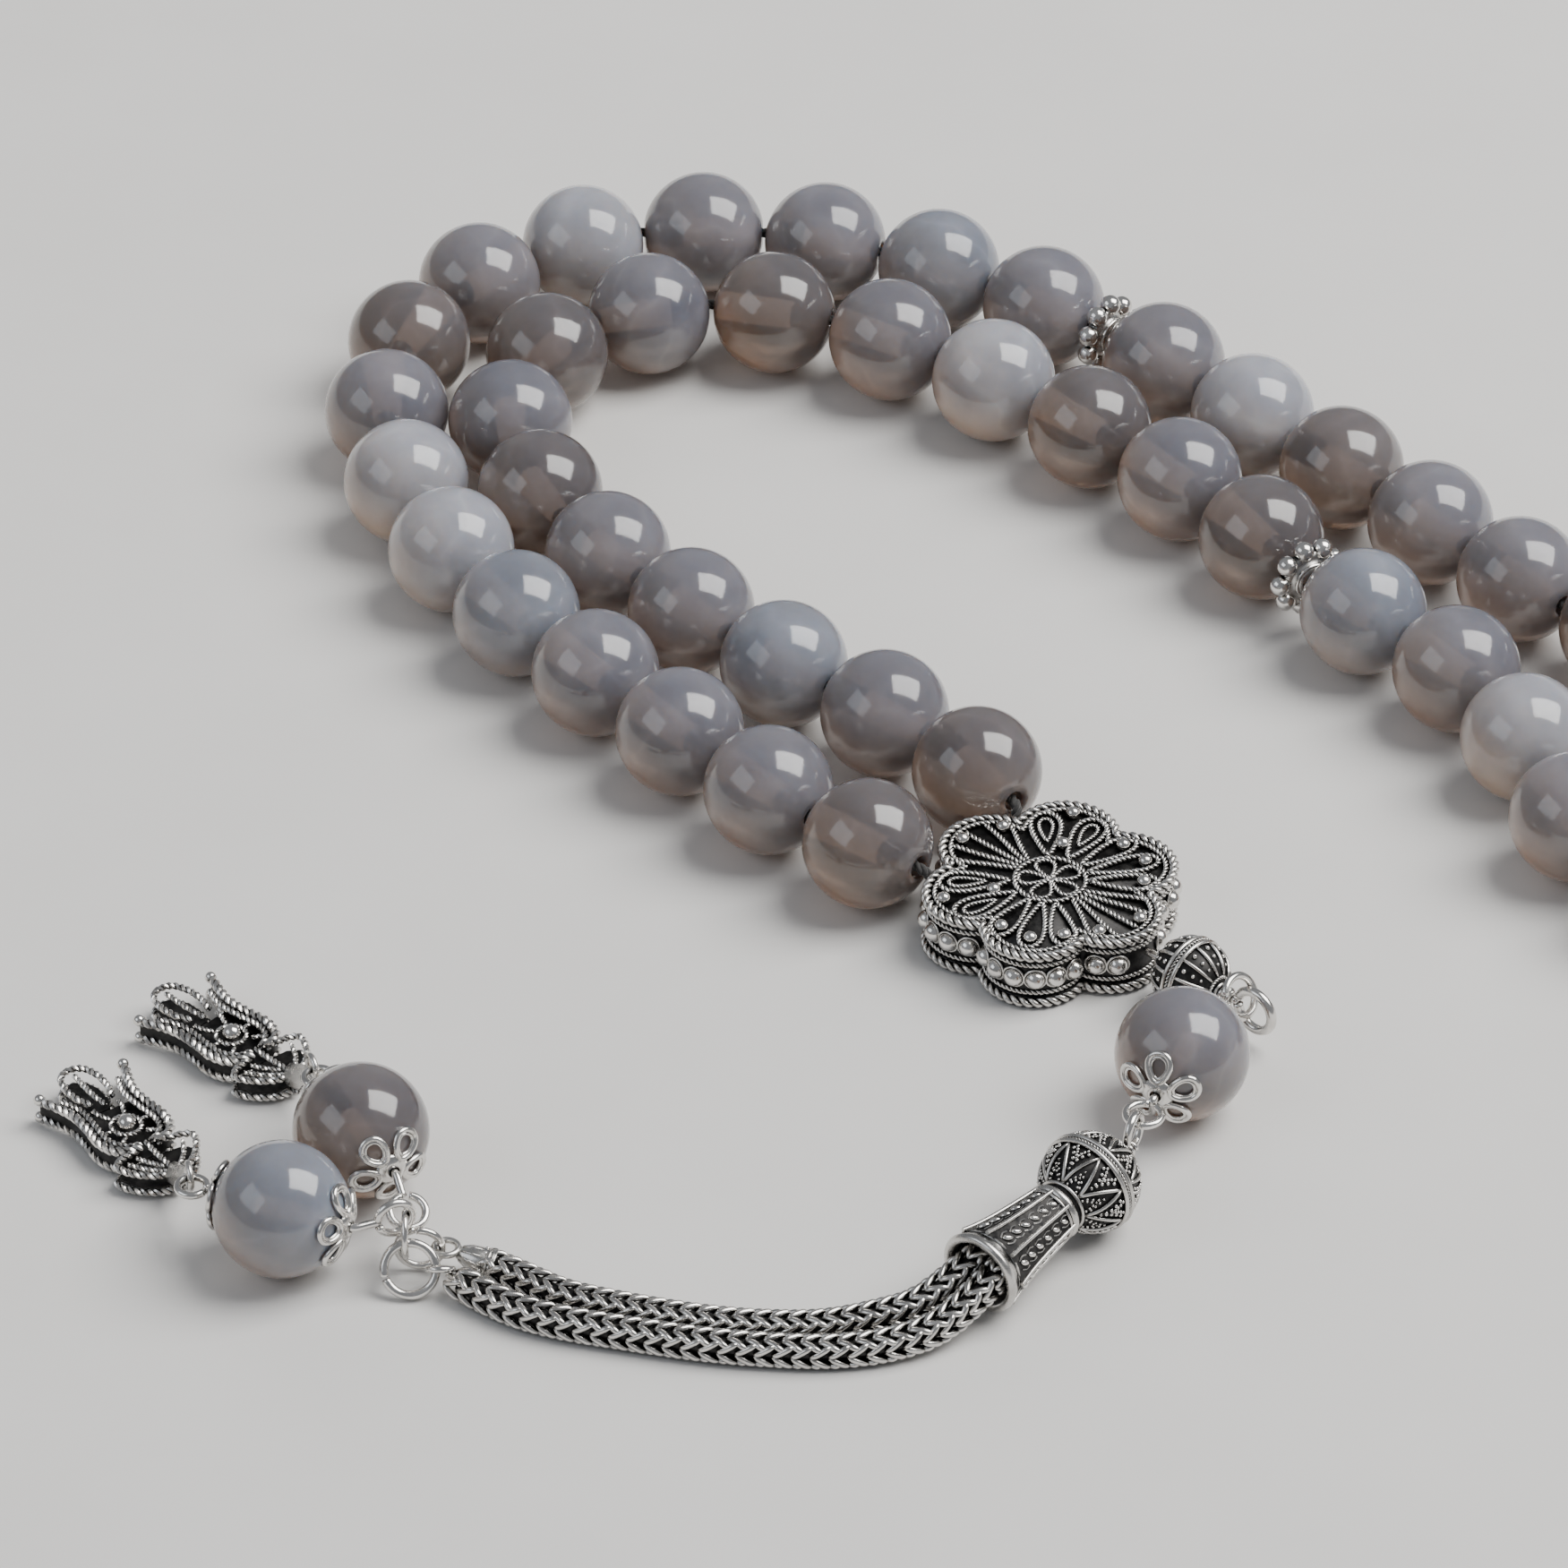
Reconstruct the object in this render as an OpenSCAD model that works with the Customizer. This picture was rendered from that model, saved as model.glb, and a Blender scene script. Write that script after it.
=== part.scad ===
// Misbaha (prayer beads): 45 agate beads on one cord, two silver dividers,
// a six-lobed filigree plaque, a pendant bead, an imame with a bell, two foxtail
// chains and two bead-and-tulip drops. It lies on a flat surface at z = 0.
// Millimetres, +Z up. Origin: middle of the plaque's underside.

/* [Beads] */
// Diameter of each agate bead
bead_d = 8; // [7.6:0.1:8]
// Drilled hole through a bead on the strand
bead_bore_d = 1.2; // [0.9:0.05:1.3]
// Thickness of the stringing cord
cord_d = 0.7; // [0.5:0.05:0.7]
// Outer diameter of the two ball-ringed dividers
divider_d = 5.4; // [5:0.1:5.6]

/* [Plaque] */
// Distance from the plaque's middle to the tip of a lobe
plaque_r = 8; // [7.8:0.1:8.1]
// Height of the plaque over both faces
plaque_h = 4; // [3.8:0.1:4.4]
// Thickness of each pierced face
plaque_face_t = 0.6; // [0.5:0.05:0.8]
// Radius of the granules soldered round the side wall
granule_r = 0.45; // [0.35:0.05:0.5]

/* [Wires and rings] */
// Thickness of the eye-pin wire
pin_d = 0.5; // [0.45:0.05:0.55]
// Diameter of the small silver bead beside the plaque
round_bead_d = 4.8; // [4.4:0.1:4.9]
// Thickness of the wire in the joining rings
ring_wire_d = 0.45; // [0.4:0.05:0.5]

/* [Imame] */
// Diameter of the engraved ball
imame_ball_d = 6.1; // [5.8:0.1:6.3]
// Outer diameter of the bell's rim
bell_rim_d = 5.2; // [5:0.1:5.4]
// Distance from the ball's middle to the bell's rim
imame_len = 10.2; // [9.8:0.1:10.6]

/* [Chains] */
// Thickness of each foxtail chain
chain_d = 1.7; // [1.5:0.1:1.7]

/* [Tulip charms] */
// Length of a tulip charm
tulip_len = 12.4; // [11.5:0.1:12.6]
// Thickness over both layers of wire
tulip_t = 1.9; // [1.5:0.1:2.1]

/* [Hidden] */
$fn = 48;
full_turn = 360;
wire_sides = 24;

// ---- strand: middle line of the bead loop, from the plaque and back to it ----
bead_z = bead_d / 2;
cord_sides = 8;
bead_pitch = 8.095;      // bead plus the play left on the cord
divider_pitch = 2;
beads_per_run = 15;
loop_route = [
  [-3.9, -1.4], [-7.75, 0.8], [-11, 3], [-17.2, 8.8], [-22.5, 15], [-27.8, 21], [-33, 27.5],
  [-37.3, 34.3], [-40.2, 42], [-42, 50], [-40.8, 58], [-36, 65], [-29.5, 69.5], [-21.5, 71],
  [-13.5, 69.7], [-6, 66.5], [1.5, 61.5], [9, 55], [14.3, 48.7], [20, 42.8], [25.4, 36.6],
  [30.3, 30.3], [36, 25.3], [43.2, 21], [49.7, 14.5], [51.1, 5], [44.7, -1.8], [35, -0.5],
  [31, 8], [29.2, 16.3], [24.4, 23], [18.6, 28.5], [13.7, 36.5], [8.3, 43], [2.5, 49],
  [-4, 54.5], [-11, 59.3], [-19, 62], [-27.3, 60.8], [-33, 55], [-34, 47], [-31, 39],
  [-26.3, 32.7], [-21, 26.5], [-15.2, 21], [-9, 16], [-3.3, 11], [-1.7, 7], [1, 3]
];
route_samples = 24;

// smooth curve through the route
function blend4(a, b, c, d, t) = 0.5 * (2 * b + (c - a) * t + (2 * a - 5 * b + 4 * c - d) * t * t
  + (3 * b - a - 3 * c + d) * t * t * t);
function smooth(pts, n) = [
  for (i = [1 : len(pts) - 3]) for (k = [0 : n - 1])
    blend4(pts[i - 1], pts[i], pts[i + 1], pts[i + 2], k / n),
  pts[len(pts) - 2]
];
loop_line = smooth(loop_route, route_samples);

// vertices at equal chords along that curve, one between each two neighbours
function is_divider(k) = k == beads_per_run || k == 2 * beads_per_run + 1;
function sample(j) = loop_line[min(max(j, 0), len(loop_line) - 1)];
function turn_at(j) = let (
    a = sample(j) - sample(j - route_samples), b = sample(j + route_samples) - sample(j)
  ) norm(a) < 1 || norm(b) < 1 ? 0 : acos(min(a * b / norm(a) / norm(b), 1));
function chord(k, j) = is_divider(k) ? divider_pitch
  : bead_pitch / cos(max([for (m = [0 : 2]) turn_at(j + m * route_samples / 2)]) / 2);
function reach(p, j, l) = j >= len(loop_line) - 1 || norm(loop_line[j] - p) >= l ? j
  : reach(p, j + 1, l);
function meet(a, b, p, l) = let (
    d = b - a, f = a - p, qa = d * d, qb = 2 * f * d, qc = f * f - l * l
  ) a + d * ((-qb + sqrt(max(qb * qb - 4 * qa * qc, 0))) / (2 * qa));
function walk(p, j, k) = k > 3 * beads_per_run + 1 ? [p]
  : let (
      l = chord(k, j), m = reach(p, j, l), q = meet(loop_line[m - 1], loop_line[m], p, l)
    ) concat([p], walk(q, m, k + 1));
knots = walk(loop_line[0], 1, 0);

// place and direction of bead number n, counted from 1
function slot_of(n) = n - 1 + (n > beads_per_run ? 1 : 0) + (n > 2 * beads_per_run ? 1 : 0);
function mid_of(k) = (knots[k] + knots[k + 1]) / 2;
function dir_of(k) = (knots[k + 1] - knots[k]) / norm(knots[k + 1] - knots[k]);
function up(p, z) = [p.x, p.y, z];

// ---- plaque ----
exit_angle = -43;
lobe_r = 3.4;
lobe_at = plaque_r - lobe_r;
wall_inset = 0.45;
wall_t = 0.5;
cord_hole_d = cord_d + 0.1;
cord_hole_z = plaque_h - 1.15;
cord_in_at = 214;      // where round the plaque each end of the cord goes in
cord_out_at = 149;
granules_per_lobe = 4;
granule_spread = 34;
exit_dir = [cos(exit_angle), sin(exit_angle), 0];
exit_z = round_bead_d / 2;
round_bead_at = 11.2;
eye_at = 16.2;
plaque_eye_r = 1.3;

// ---- pendant bead on its eye pin ----
pendant_c = [7.3, -17.2, bead_z];
pendant_angle = -113;
pendant_dir = [cos(pendant_angle), sin(pendant_angle), 0];
link_tilt = 60;         // where round the plaque's eye the pendant hangs
eye_c = up(exit_dir * eye_at, exit_z);
link_w = eye_c + plaque_eye_r * (-cos(link_tilt) * exit_dir + sin(link_tilt) * [0, 0, 1]);
link_axis = sin(link_tilt) * exit_dir + cos(link_tilt) * [0, 0, 1];
top_eye_r = 1.25;
top_pull_raw = [-0.54, -0.84, 0.05];
top_pull_flat = top_pull_raw - (top_pull_raw * link_axis) * link_axis;
top_pull = top_pull_flat / norm(top_pull_flat);
top_eye_c = link_w + 0.66 * top_pull;
low_eye_r = 1.05;
low_eye_c = pendant_c + 6.2 * pendant_dir;
bend_at = bead_d / 2 + 0.6;
cap_petals = 5;
pin_bore_d = pin_d + 0.2;
eye_wire_d = pin_d - 0.06;  // eyes are drawn a little thinner than the pin
bend_ball_d = pin_d + 0.2;

// ---- imame ----
imame_angle = -130;
imame_flat = [cos(imame_angle), sin(imame_angle), 0];
imame_c = [1.6, -28, imame_ball_d / 2 + 0.02];
imame_drop = (imame_ball_d - bell_rim_d) / 2 / imame_len;
imame_dir = (imame_flat - [0, 0, imame_drop]) / norm(imame_flat - [0, 0, imame_drop]);
imame_side = [-sin(imame_angle), cos(imame_angle), 0];
imame_bend = imame_c - 3.4 * imame_dir;
imame_pull = up(imame_bend - low_eye_c, 0) / norm(up(imame_bend - low_eye_c, 0));
imame_link_w = low_eye_c + low_eye_r * imame_pull;
imame_link_axis = cross(imame_pull, [0, 0, 1]);
imame_eye_r = 1.05;
imame_eye_c = imame_link_w + (imame_eye_r - pin_d - 0.06) * imame_pull - [0, 0, 0.12];
collar_at = 3;
bell_from = 3.3;
bell_facets = 8;
bell_mouth_r = bell_rim_d / 2 - 0.5;

// ---- chains, on their own routes from inside the bell to the ring cluster ----
chain_z = chain_d / 2 + 0.02;
chain_gap = 0.88;
function in_bell(s, side) = imame_c + s * imame_dir + side * chain_gap * imame_side;
front_route = concat([in_bell(7.52, 1), in_bell(9.6, 1)], [
  [-7, -38.7, 1.4], [-10, -40, 1], [-13.5, -40.5, chain_z], [-17.5, -40.3, chain_z],
  [-21, -39.8, chain_z], [-25, -38.9, chain_z], [-28.5, -38, chain_z],
  [-31, -37, chain_z], [-33, -35.7, chain_z], [-34.5, -34.6, 1]
]);
back_route = concat([in_bell(7.52, -1), in_bell(9.6, -1)], [
  [-8.2, -36.9, 1.5], [-11, -37.8, 1.1], [-14, -38.3, chain_z], [-17.5, -38.3, chain_z],
  [-21, -37.8, chain_z], [-25, -36.8, chain_z], [-28.5, -35.6, chain_z],
  [-31, -34, chain_z], [-33, -32.7, chain_z]
]);

// ---- ring cluster: two end rings and the ring that gathers everything ----
ring_r = ring_wire_d / 2;
gather_c = [-37.7, -32.3, 2.75];
gather_r = 1.3;
gather_n = [1, 0, 0];
front_ring_r = 1.5;
front_ring_tilt = 53;   // leans back from upright to face up and forward
front_ring_n = [0, -sin(front_ring_tilt), cos(front_ring_tilt)];
front_ring_up = [0, cos(front_ring_tilt), sin(front_ring_tilt)];
front_ring_c = [-37.4, -33.95, 1.5];
back_ring_r = 1.3;
back_ring_c = [-36.9, -32.1, back_ring_r + ring_r + 0.03];
back_ring_n = [0, 1, 0];
end_link_r = 0.7;
end_link_c = front_ring_c + [front_ring_r + 0.22, 0, 0];
end_eye_r = 0.7;
end_eye_c = back_ring_c + [back_ring_r + 0.22, 0, 0];

// ---- drops: bead on an eye pin, petal cap at the head, foot cap and tulip ----
front_bead_c = [-44.8, -31.6, bead_z];
front_head_dir = [0.93, -0.37, 0];
front_head_eye_c = [-38.25, -32.42, 4.03];
front_head_eye_n = [0, 1, 0];
front_foot_dir = -front_head_dir;
front_tulip_base = [-50.9, -25.6, 1.75];
front_tulip_angle = 126;
back_bead_c = [-40.5, -24.35, bead_z];
back_head_dir = [0.47, -0.88, 0];
back_head_eye_c = [-37.6, -30.55, 2.95];
back_head_eye_n = [0, 0, 1];
back_foot_dir = -back_head_dir;
back_tulip_base = [-44.4, -16.4, 1.75];
back_tulip_angle = 136;
head_eye_r = 1.05;
foot_eye_r = 0.85;
foot_eye_at = 5.6;
bail_r = 0.75;
tulip_half = [
  [0, 0.6], [0.9, 1.7], [2.7, 2.8], [3.3, 1.8], [4.6, 2.2], [6.6, 2.1], [8.6, 2.1],
  [10.8, 2.9], [9.8, 1.1], [11.3, 1.1]
];

agate = [0.55, 0.55, 0.6];
silver = [0.78, 0.78, 0.76];
dark_silver = [0.45, 0.44, 0.43];

// ---------------------------------------------------------------- helpers
// the part of n that is square to v
function normal_past(n, v) = let (u = v / norm(v)) n - (n * u) * u;
module along(v) {
  rotate([0, acos(v.z / norm(v)), atan2(v.y, v.x)]) children();
}
module rod(a, b, d) {
  translate(a) along(b - a) cylinder(d = d, h = norm(b - a));
}
module hoop(c, n, r, wire) {
  translate(c) along(n) rotate_extrude() translate([r, 0]) circle(d = wire, $fn = wire_sides);
}
module drilled(c, v, d, bore) {
  translate(c) along(v) difference() {
    sphere(d = d);
    cylinder(d = bore, h = d + 1, center = true);
  }
}

// square frame of a tube at point i of a route
function tangent(p, i) = let (
    a = i == 0 ? p[1] - p[0] : p[i] - p[i - 1],
    b = i == len(p) - 1 ? p[i] - p[i - 1] : p[i + 1] - p[i],
    s = a / norm(a) + b / norm(b)
  ) s / norm(s);
function mitre(p, i) = i == 0 || i == len(p) - 1 ? 1
  : let (a = p[i] - p[i - 1]) 1 / max(tangent(p, i) * a / norm(a), 0.5);
function ring_of(p, i, r, sides) = let (
    t = tangent(p, i), h = cross([0, 0, 1], t), s = h / norm(h), u = cross(t, s)
  ) [for (k = [0 : sides - 1]) let (a = full_turn * (k + 0.5) / sides)
      p[i] + r * cos(a) * mitre(p, i) * s + r * sin(a) * u];
module tube(p, d, sides) {
  n = len(p);
  pts = [for (i = [0 : n - 1]) each ring_of(p, i, d / 2, sides)];
  walls = [for (i = [0 : n - 2]) for (k = [0 : sides - 1]) let (
      a = i * sides + k, b = i * sides + (k + 1) % sides
    ) each [[a, b, b + sides], [a, b + sides, a + sides]]];
  start = [[for (k = [0 : sides - 1]) sides - 1 - k]];
  end = [[for (k = [0 : sides - 1]) (n - 1) * sides + k]];
  polyhedron(points = pts, faces = [for (f = concat(walls, start, end))
    [for (k = [len(f) - 1 : -1 : 0]) f[k]]]);
}

// ---------------------------------------------------------------- strand
start_in = up(4.9 * [cos(exit_angle + cord_in_at), sin(exit_angle + cord_in_at)], cord_hole_z - 0.2);
end_in = up(4.9 * [cos(exit_angle + cord_out_at), sin(exit_angle + cord_out_at)], cord_hole_z - 0.2);
start_wall = up(7 * [cos(exit_angle + cord_in_at), sin(exit_angle + cord_in_at)], cord_hole_z);
end_wall = up(7 * [cos(exit_angle + cord_out_at), sin(exit_angle + cord_out_at)], cord_hole_z);
module cord() {
  color([0.08, 0.08, 0.09]) tube(
    concat([start_in, start_wall], [for (k = knots) up(k, bead_z)], [end_wall, end_in]),
    cord_d, cord_sides);
}
module strand_bead(n) {
  color(agate) drilled(up(mid_of(slot_of(n)), bead_z), up(dir_of(slot_of(n)), 0),
    bead_d, bead_bore_d);
}
module middle_beads() {
  for (n = [14 : 32]) strand_bead(n);
}
divider_balls = 9;
divider_ball_d = 1.35;
divider_hub_t = 1.7;
module divider(k) {
  ball_at = (divider_d - divider_ball_d) / 2;
  color(silver) translate(up(mid_of(k), bead_z)) along(up(dir_of(k), 0)) difference() {
    union() {
      cylinder(r = ball_at - 0.1, h = divider_hub_t * 0.5, center = true);
      cylinder(r = 1.15, h = divider_hub_t, center = true);
      for (i = [0 : divider_balls - 1]) rotate([0, 0, i * full_turn / divider_balls])
        translate([ball_at, 0, 0]) sphere(d = divider_ball_d);
    }
    cylinder(d = bead_bore_d, h = divider_hub_t + 1, center = true);
  }
}

// ---------------------------------------------------------------- plaque
module flower(grow) {
  circle(r = lobe_at + 0.6);
  for (i = [0 : 5]) rotate([0, 0, exit_angle + 60 * i]) translate([lobe_at, 0])
    circle(r = lobe_r + grow);
}
module plaque_bottom() {
  color(silver) linear_extrude(plaque_face_t) flower(0);
}
module plaque_top() {
  color(silver) translate([0, 0, plaque_h - plaque_face_t]) linear_extrude(plaque_face_t)
    difference() {
      flower(0);
      for (i = [0 : 5]) rotate([0, 0, exit_angle + 60 * i]) {
        translate([5.2, 0]) circle(r = 1);
        rotate([0, 0, 30]) translate([3.4, 0]) circle(r = 0.7);
      }
    }
}
module plaque_wall() {
  wall_h = plaque_h - 2 * plaque_face_t;
  color(dark_silver) difference() {
    union() {
      translate([0, 0, plaque_face_t]) linear_extrude(wall_h) flower(-wall_inset);
      for (i = [0 : 5]) rotate([0, 0, exit_angle + 60 * i]) translate([lobe_at, 0])
        for (j = [0 : granules_per_lobe - 1])
          rotate([0, 0, granule_spread * (j - (granules_per_lobe - 1) / 2)])
            translate([lobe_r - wall_inset - 0.03, 0, plaque_h / 2]) sphere(r = granule_r);
    }
    linear_extrude(plaque_h) flower(-wall_inset - wall_t);
    rod(up(exit_dir * 5, exit_z), up(exit_dir * 9, exit_z), pin_d + 0.04);
    rod(start_in, start_wall + (start_wall - start_in), cord_hole_d);
    rod(end_in, end_wall + (end_wall - end_in), cord_hole_d);
  }
}
module plaque_pin() {
  color(silver) union() {
    rod(up(exit_dir * 5.4, exit_z), up(exit_dir * (eye_at - plaque_eye_r), exit_z), pin_d);
    translate(up(exit_dir * 5.6, exit_z)) sphere(d = 1.2);
    hoop(eye_c, cross(exit_dir, [0, 0, 1]), plaque_eye_r, pin_d + 0.1);
  }
}
module round_bead() {
  color(dark_silver) translate(up(exit_dir * round_bead_at, round_bead_d / 2)) along(exit_dir)
    difference() {
      union() {
        sphere(d = round_bead_d - 0.2);
        cylinder(d = round_bead_d, h = 0.7, center = true);
      }
      cylinder(d = pin_bore_d, h = round_bead_d + 1, center = true);
    }
}

// ---------------------------------------------------------------- pendant
module petal_cap(c, v) {
  ring_at = 1.5;
  petal_r = 0.68;
  lift = sqrt(pow(bead_d / 2 + 0.24, 2) - pow(ring_at, 2));
  lean = atan2(ring_at, lift);
  color(silver) translate(c) along(v) difference() {
    union() {
      translate([0, 0, bead_d / 2 + 0.02]) cylinder(r = 0.95, h = 0.35);
      for (i = [0 : cap_petals - 1]) rotate([0, 0, i * full_turn / cap_petals])
        rotate([0, lean, 0]) translate([0, 0, bead_d / 2 + 0.24])
          rotate_extrude() translate([petal_r, 0]) circle(d = 0.36);
    }
    cylinder(d = pin_bore_d, h = bead_d);
  }
}
// ball in the bend of a wire, with its seam and poles clear of both ways a and b out of it
module bend_ball(c, a, b) {
  n = cross(a, b) / norm(cross(a, b));
  outer = -a / norm(a) - b / norm(b);
  tilt = acos(n.z);
  azimuth = atan2(n.y, n.x);
  spin = atan2(outer * [-sin(azimuth), cos(azimuth), 0],
    outer * [cos(tilt) * cos(azimuth), cos(tilt) * sin(azimuth), -sin(tilt)]);
  translate(c) rotate([0, tilt, azimuth]) rotate([0, 0, spin]) sphere(d = bend_ball_d);
}
// eye, bend and shank of a pin that ends at point tip
module eye_shank(eye, n, r, bend, tip) {
  hoop(eye, normal_past(n, bend - eye), r, eye_wire_d);
  rod(eye + r * (bend - eye) / norm(bend - eye), bend, pin_d);
  bend_ball(bend, eye - bend, tip - bend);
  rod(bend, tip, pin_d);
}
module pendant_pin() {
  color(silver) union() {
    eye_shank(top_eye_c, link_axis, top_eye_r, pendant_c - bend_at * pendant_dir,
      low_eye_c - low_eye_r * pendant_dir);
    hoop(low_eye_c, [0, 0, 1], low_eye_r, eye_wire_d);
  }
}
module pendant_bead() {
  color(agate) drilled(pendant_c, pendant_dir, bead_d, pin_bore_d);
}
module pendant_cap() {
  petal_cap(pendant_c, pendant_dir);
}

// ---------------------------------------------------------------- imame
module imame_frame() {
  translate(imame_c) along(imame_dir) children();
}
module imame_ball() {
  color(dark_silver) imame_frame() difference() {
    union() {
      sphere(d = imame_ball_d - 0.2);
      cylinder(d = imame_ball_d, h = 0.7, center = true);
      translate([0, 0, collar_at - 0.8]) cylinder(r = 1.5, h = 0.6);
      translate([0, 0, -collar_at - 0.1]) cylinder(r = 0.8, h = 0.6);
    }
    cylinder(d = pin_bore_d, h = imame_ball_d + 3, center = true);
  }
}
module imame_bell() {
  neck_r = 1.7;
  color(silver) imame_frame() difference() {
    union() {
      translate([0, 0, collar_at + 0.02]) cylinder(r = neck_r + 0.1, h = 0.6);
      translate([0, 0, bell_from]) cylinder(r1 = neck_r, r2 = bell_rim_d / 2 - 0.1,
        h = imame_len - bell_from - 0.9, $fn = bell_facets);
      translate([0, 0, imame_len - 1.3]) cylinder(r1 = 2.1, r2 = bell_rim_d / 2, h = 1);
      translate([0, 0, imame_len - 0.3]) cylinder(r = bell_rim_d / 2, h = 0.3);
    }
    translate([0, 0, collar_at - 1]) cylinder(d = pin_bore_d, h = 3);
    translate([0, 0, bell_from + 1.2]) cylinder(r1 = 0.9, r2 = bell_mouth_r - 0.28, h = 2.6);
    translate([0, 0, bell_from + 3.75])
      cylinder(r1 = bell_mouth_r - 0.3, r2 = bell_mouth_r, h = imame_len - bell_from - 3.7);
  }
}
module imame_wire() {
  stop_at = 6.9;
  color(silver) union() {
    eye_shank(imame_eye_c, imame_link_axis, imame_eye_r, imame_bend,
      imame_c + (stop_at + 0.3) * imame_dir);
    translate(imame_c + stop_at * imame_dir) along(imame_dir) cylinder(r = 1.5, h = 0.6);
  }
}

// ---------------------------------------------------------------- chains
module chain_front() {
  color(silver) tube(smooth(concat([2 * front_route[0] - front_route[1]], front_route,
    [2 * front_route[11] - front_route[10]]), 1), chain_d, cord_sides);
}
module chain_back() {
  color(silver) tube(smooth(concat([2 * back_route[0] - back_route[1]], back_route,
    [2 * back_route[10] - back_route[9]]), 1), chain_d, cord_sides);
}
module chain_front_link() {
  last = front_route[11];
  color(silver) union() {
    hoop(end_link_c, front_ring_up, end_link_r, 0.4);
    rod(last, end_link_c + end_link_r * (last - end_link_c) / norm(last - end_link_c), 0.6);
  }
}
module chain_back_cap() {
  last = back_route[10];
  v = end_eye_c - last;
  clear_of_chain = 0.45;
  color(silver) union() {
    hoop(end_eye_c, [0, 0, 1], end_eye_r, 0.4);
    translate(last) along(v) translate([0, 0, clear_of_chain])
      cylinder(r1 = chain_d / 2, r2 = 0.35, h = norm(v) - end_eye_r + 0.1 - clear_of_chain);
  }
}

// ---------------------------------------------------------------- rings
module front_ring() {
  color(silver) hoop(front_ring_c, front_ring_n, front_ring_r, ring_wire_d);
}
module back_ring() {
  color(silver) hoop(back_ring_c, back_ring_n, back_ring_r, ring_wire_d);
}
module gather_ring() {
  color(silver) hoop(gather_c, gather_n, gather_r, 0.4);
}

// ---------------------------------------------------------------- drops
module drop_pin(c, head, eye, eye_n) {
  h = head / norm(head);
  foot_eye = c - foot_eye_at * h;
  color(silver) union() {
    eye_shank(eye, eye_n, head_eye_r, c + bend_at * h, foot_eye + foot_eye_r * h);
    hoop(foot_eye, [0, 0, 1], foot_eye_r, eye_wire_d);
  }
}
module foot_cap(c, foot) {
  color(silver) translate(c) along(foot) difference() {
    translate([0, 0, bead_d / 2 - 0.35]) cylinder(r1 = 2, r2 = 0.7, h = 0.75);
    sphere(d = bead_d + 0.06);
    cylinder(d = pin_bore_d, h = bead_d);
  }
}
module tulip_outline() {
  side = [for (p = tulip_half) [p.x * tulip_len / 12.4, p.y]];
  polygon(concat(side, [[tulip_len, 0]],
    [for (k = [len(side) - 1 : -1 : 0]) [side[k].x, -side[k].y]]));
}
module tulip(base, angle, foot_eye) {
  way = base - foot_eye;
  flat = [way.x, way.y, 0] / norm([way.x, way.y]);
  link = foot_eye + foot_eye_r * flat;
  bail_c = link + (bail_r - 0.5) * flat - [0, 0, 0.1];
  v = base - bail_c;
  color(silver) union() {
    hoop(bail_c, cross(flat, [0, 0, 1]), bail_r, 0.4);
    translate(bail_c + (bail_r - 0.1) * v / norm(v)) along(v)
      cylinder(r1 = 0.35, r2 = 0.8, h = norm(v) - bail_r + 0.4);
    translate([base.x, base.y, tulip_t / 2 + 0.05]) rotate([0, 0, angle])
      linear_extrude(tulip_t, center = true) difference() {
        tulip_outline();
        translate([6, 0]) circle(r = 0.7);
      }
  }
}
front_foot_eye = front_bead_c + foot_eye_at * front_foot_dir / norm(front_foot_dir);
back_foot_eye = back_bead_c + foot_eye_at * back_foot_dir / norm(back_foot_dir);
module front_drop_pin() {
  drop_pin(front_bead_c, front_head_dir, front_head_eye_c, front_head_eye_n);
}
module front_drop_bead() {
  color(agate) drilled(front_bead_c, front_head_dir, bead_d, pin_bore_d);
}
module front_drop_cap() {
  petal_cap(front_bead_c, front_head_dir);
}
module front_foot_cap() {
  foot_cap(front_bead_c, front_foot_dir);
}
module front_tulip() {
  tulip(front_tulip_base, front_tulip_angle, front_foot_eye);
}
module back_drop_pin() {
  drop_pin(back_bead_c, back_head_dir, back_head_eye_c, back_head_eye_n);
}
module back_drop_bead() {
  color(agate) drilled(back_bead_c, back_head_dir, bead_d, pin_bore_d);
}
module back_drop_cap() {
  petal_cap(back_bead_c, back_head_dir);
}
module back_foot_cap() {
  foot_cap(back_bead_c, back_foot_dir);
}
module back_tulip() {
  tulip(back_tulip_base, back_tulip_angle, back_foot_eye);
}

cord();
strand_bead(1);  // bead_01
strand_bead(2);  // bead_02
strand_bead(3);  // bead_03
strand_bead(4);  // bead_04
strand_bead(5);  // bead_05
strand_bead(6);  // bead_06
strand_bead(7);  // bead_07
strand_bead(8);  // bead_08
strand_bead(9);  // bead_09
strand_bead(10);  // bead_10
strand_bead(11);  // bead_11
strand_bead(12);  // bead_12
strand_bead(13);  // bead_13
middle_beads();  // beads_14_to_32
strand_bead(33);  // bead_33
strand_bead(34);  // bead_34
strand_bead(35);  // bead_35
strand_bead(36);  // bead_36
strand_bead(37);  // bead_37
strand_bead(38);  // bead_38
strand_bead(39);  // bead_39
strand_bead(40);  // bead_40
strand_bead(41);  // bead_41
strand_bead(42);  // bead_42
strand_bead(43);  // bead_43
strand_bead(44);  // bead_44
strand_bead(45);  // bead_45
divider(beads_per_run);  // divider_1
divider(2 * beads_per_run + 1);  // divider_2
plaque_top();
plaque_wall();
plaque_bottom();
plaque_pin();
round_bead();
pendant_pin();
pendant_bead();
pendant_cap();
imame_ball();
imame_bell();
imame_wire();
chain_front();
chain_back();
chain_front_link();
chain_back_cap();
front_ring();
back_ring();
gather_ring();
front_drop_pin();
front_drop_bead();
front_drop_cap();
front_foot_cap();
front_tulip();
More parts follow.
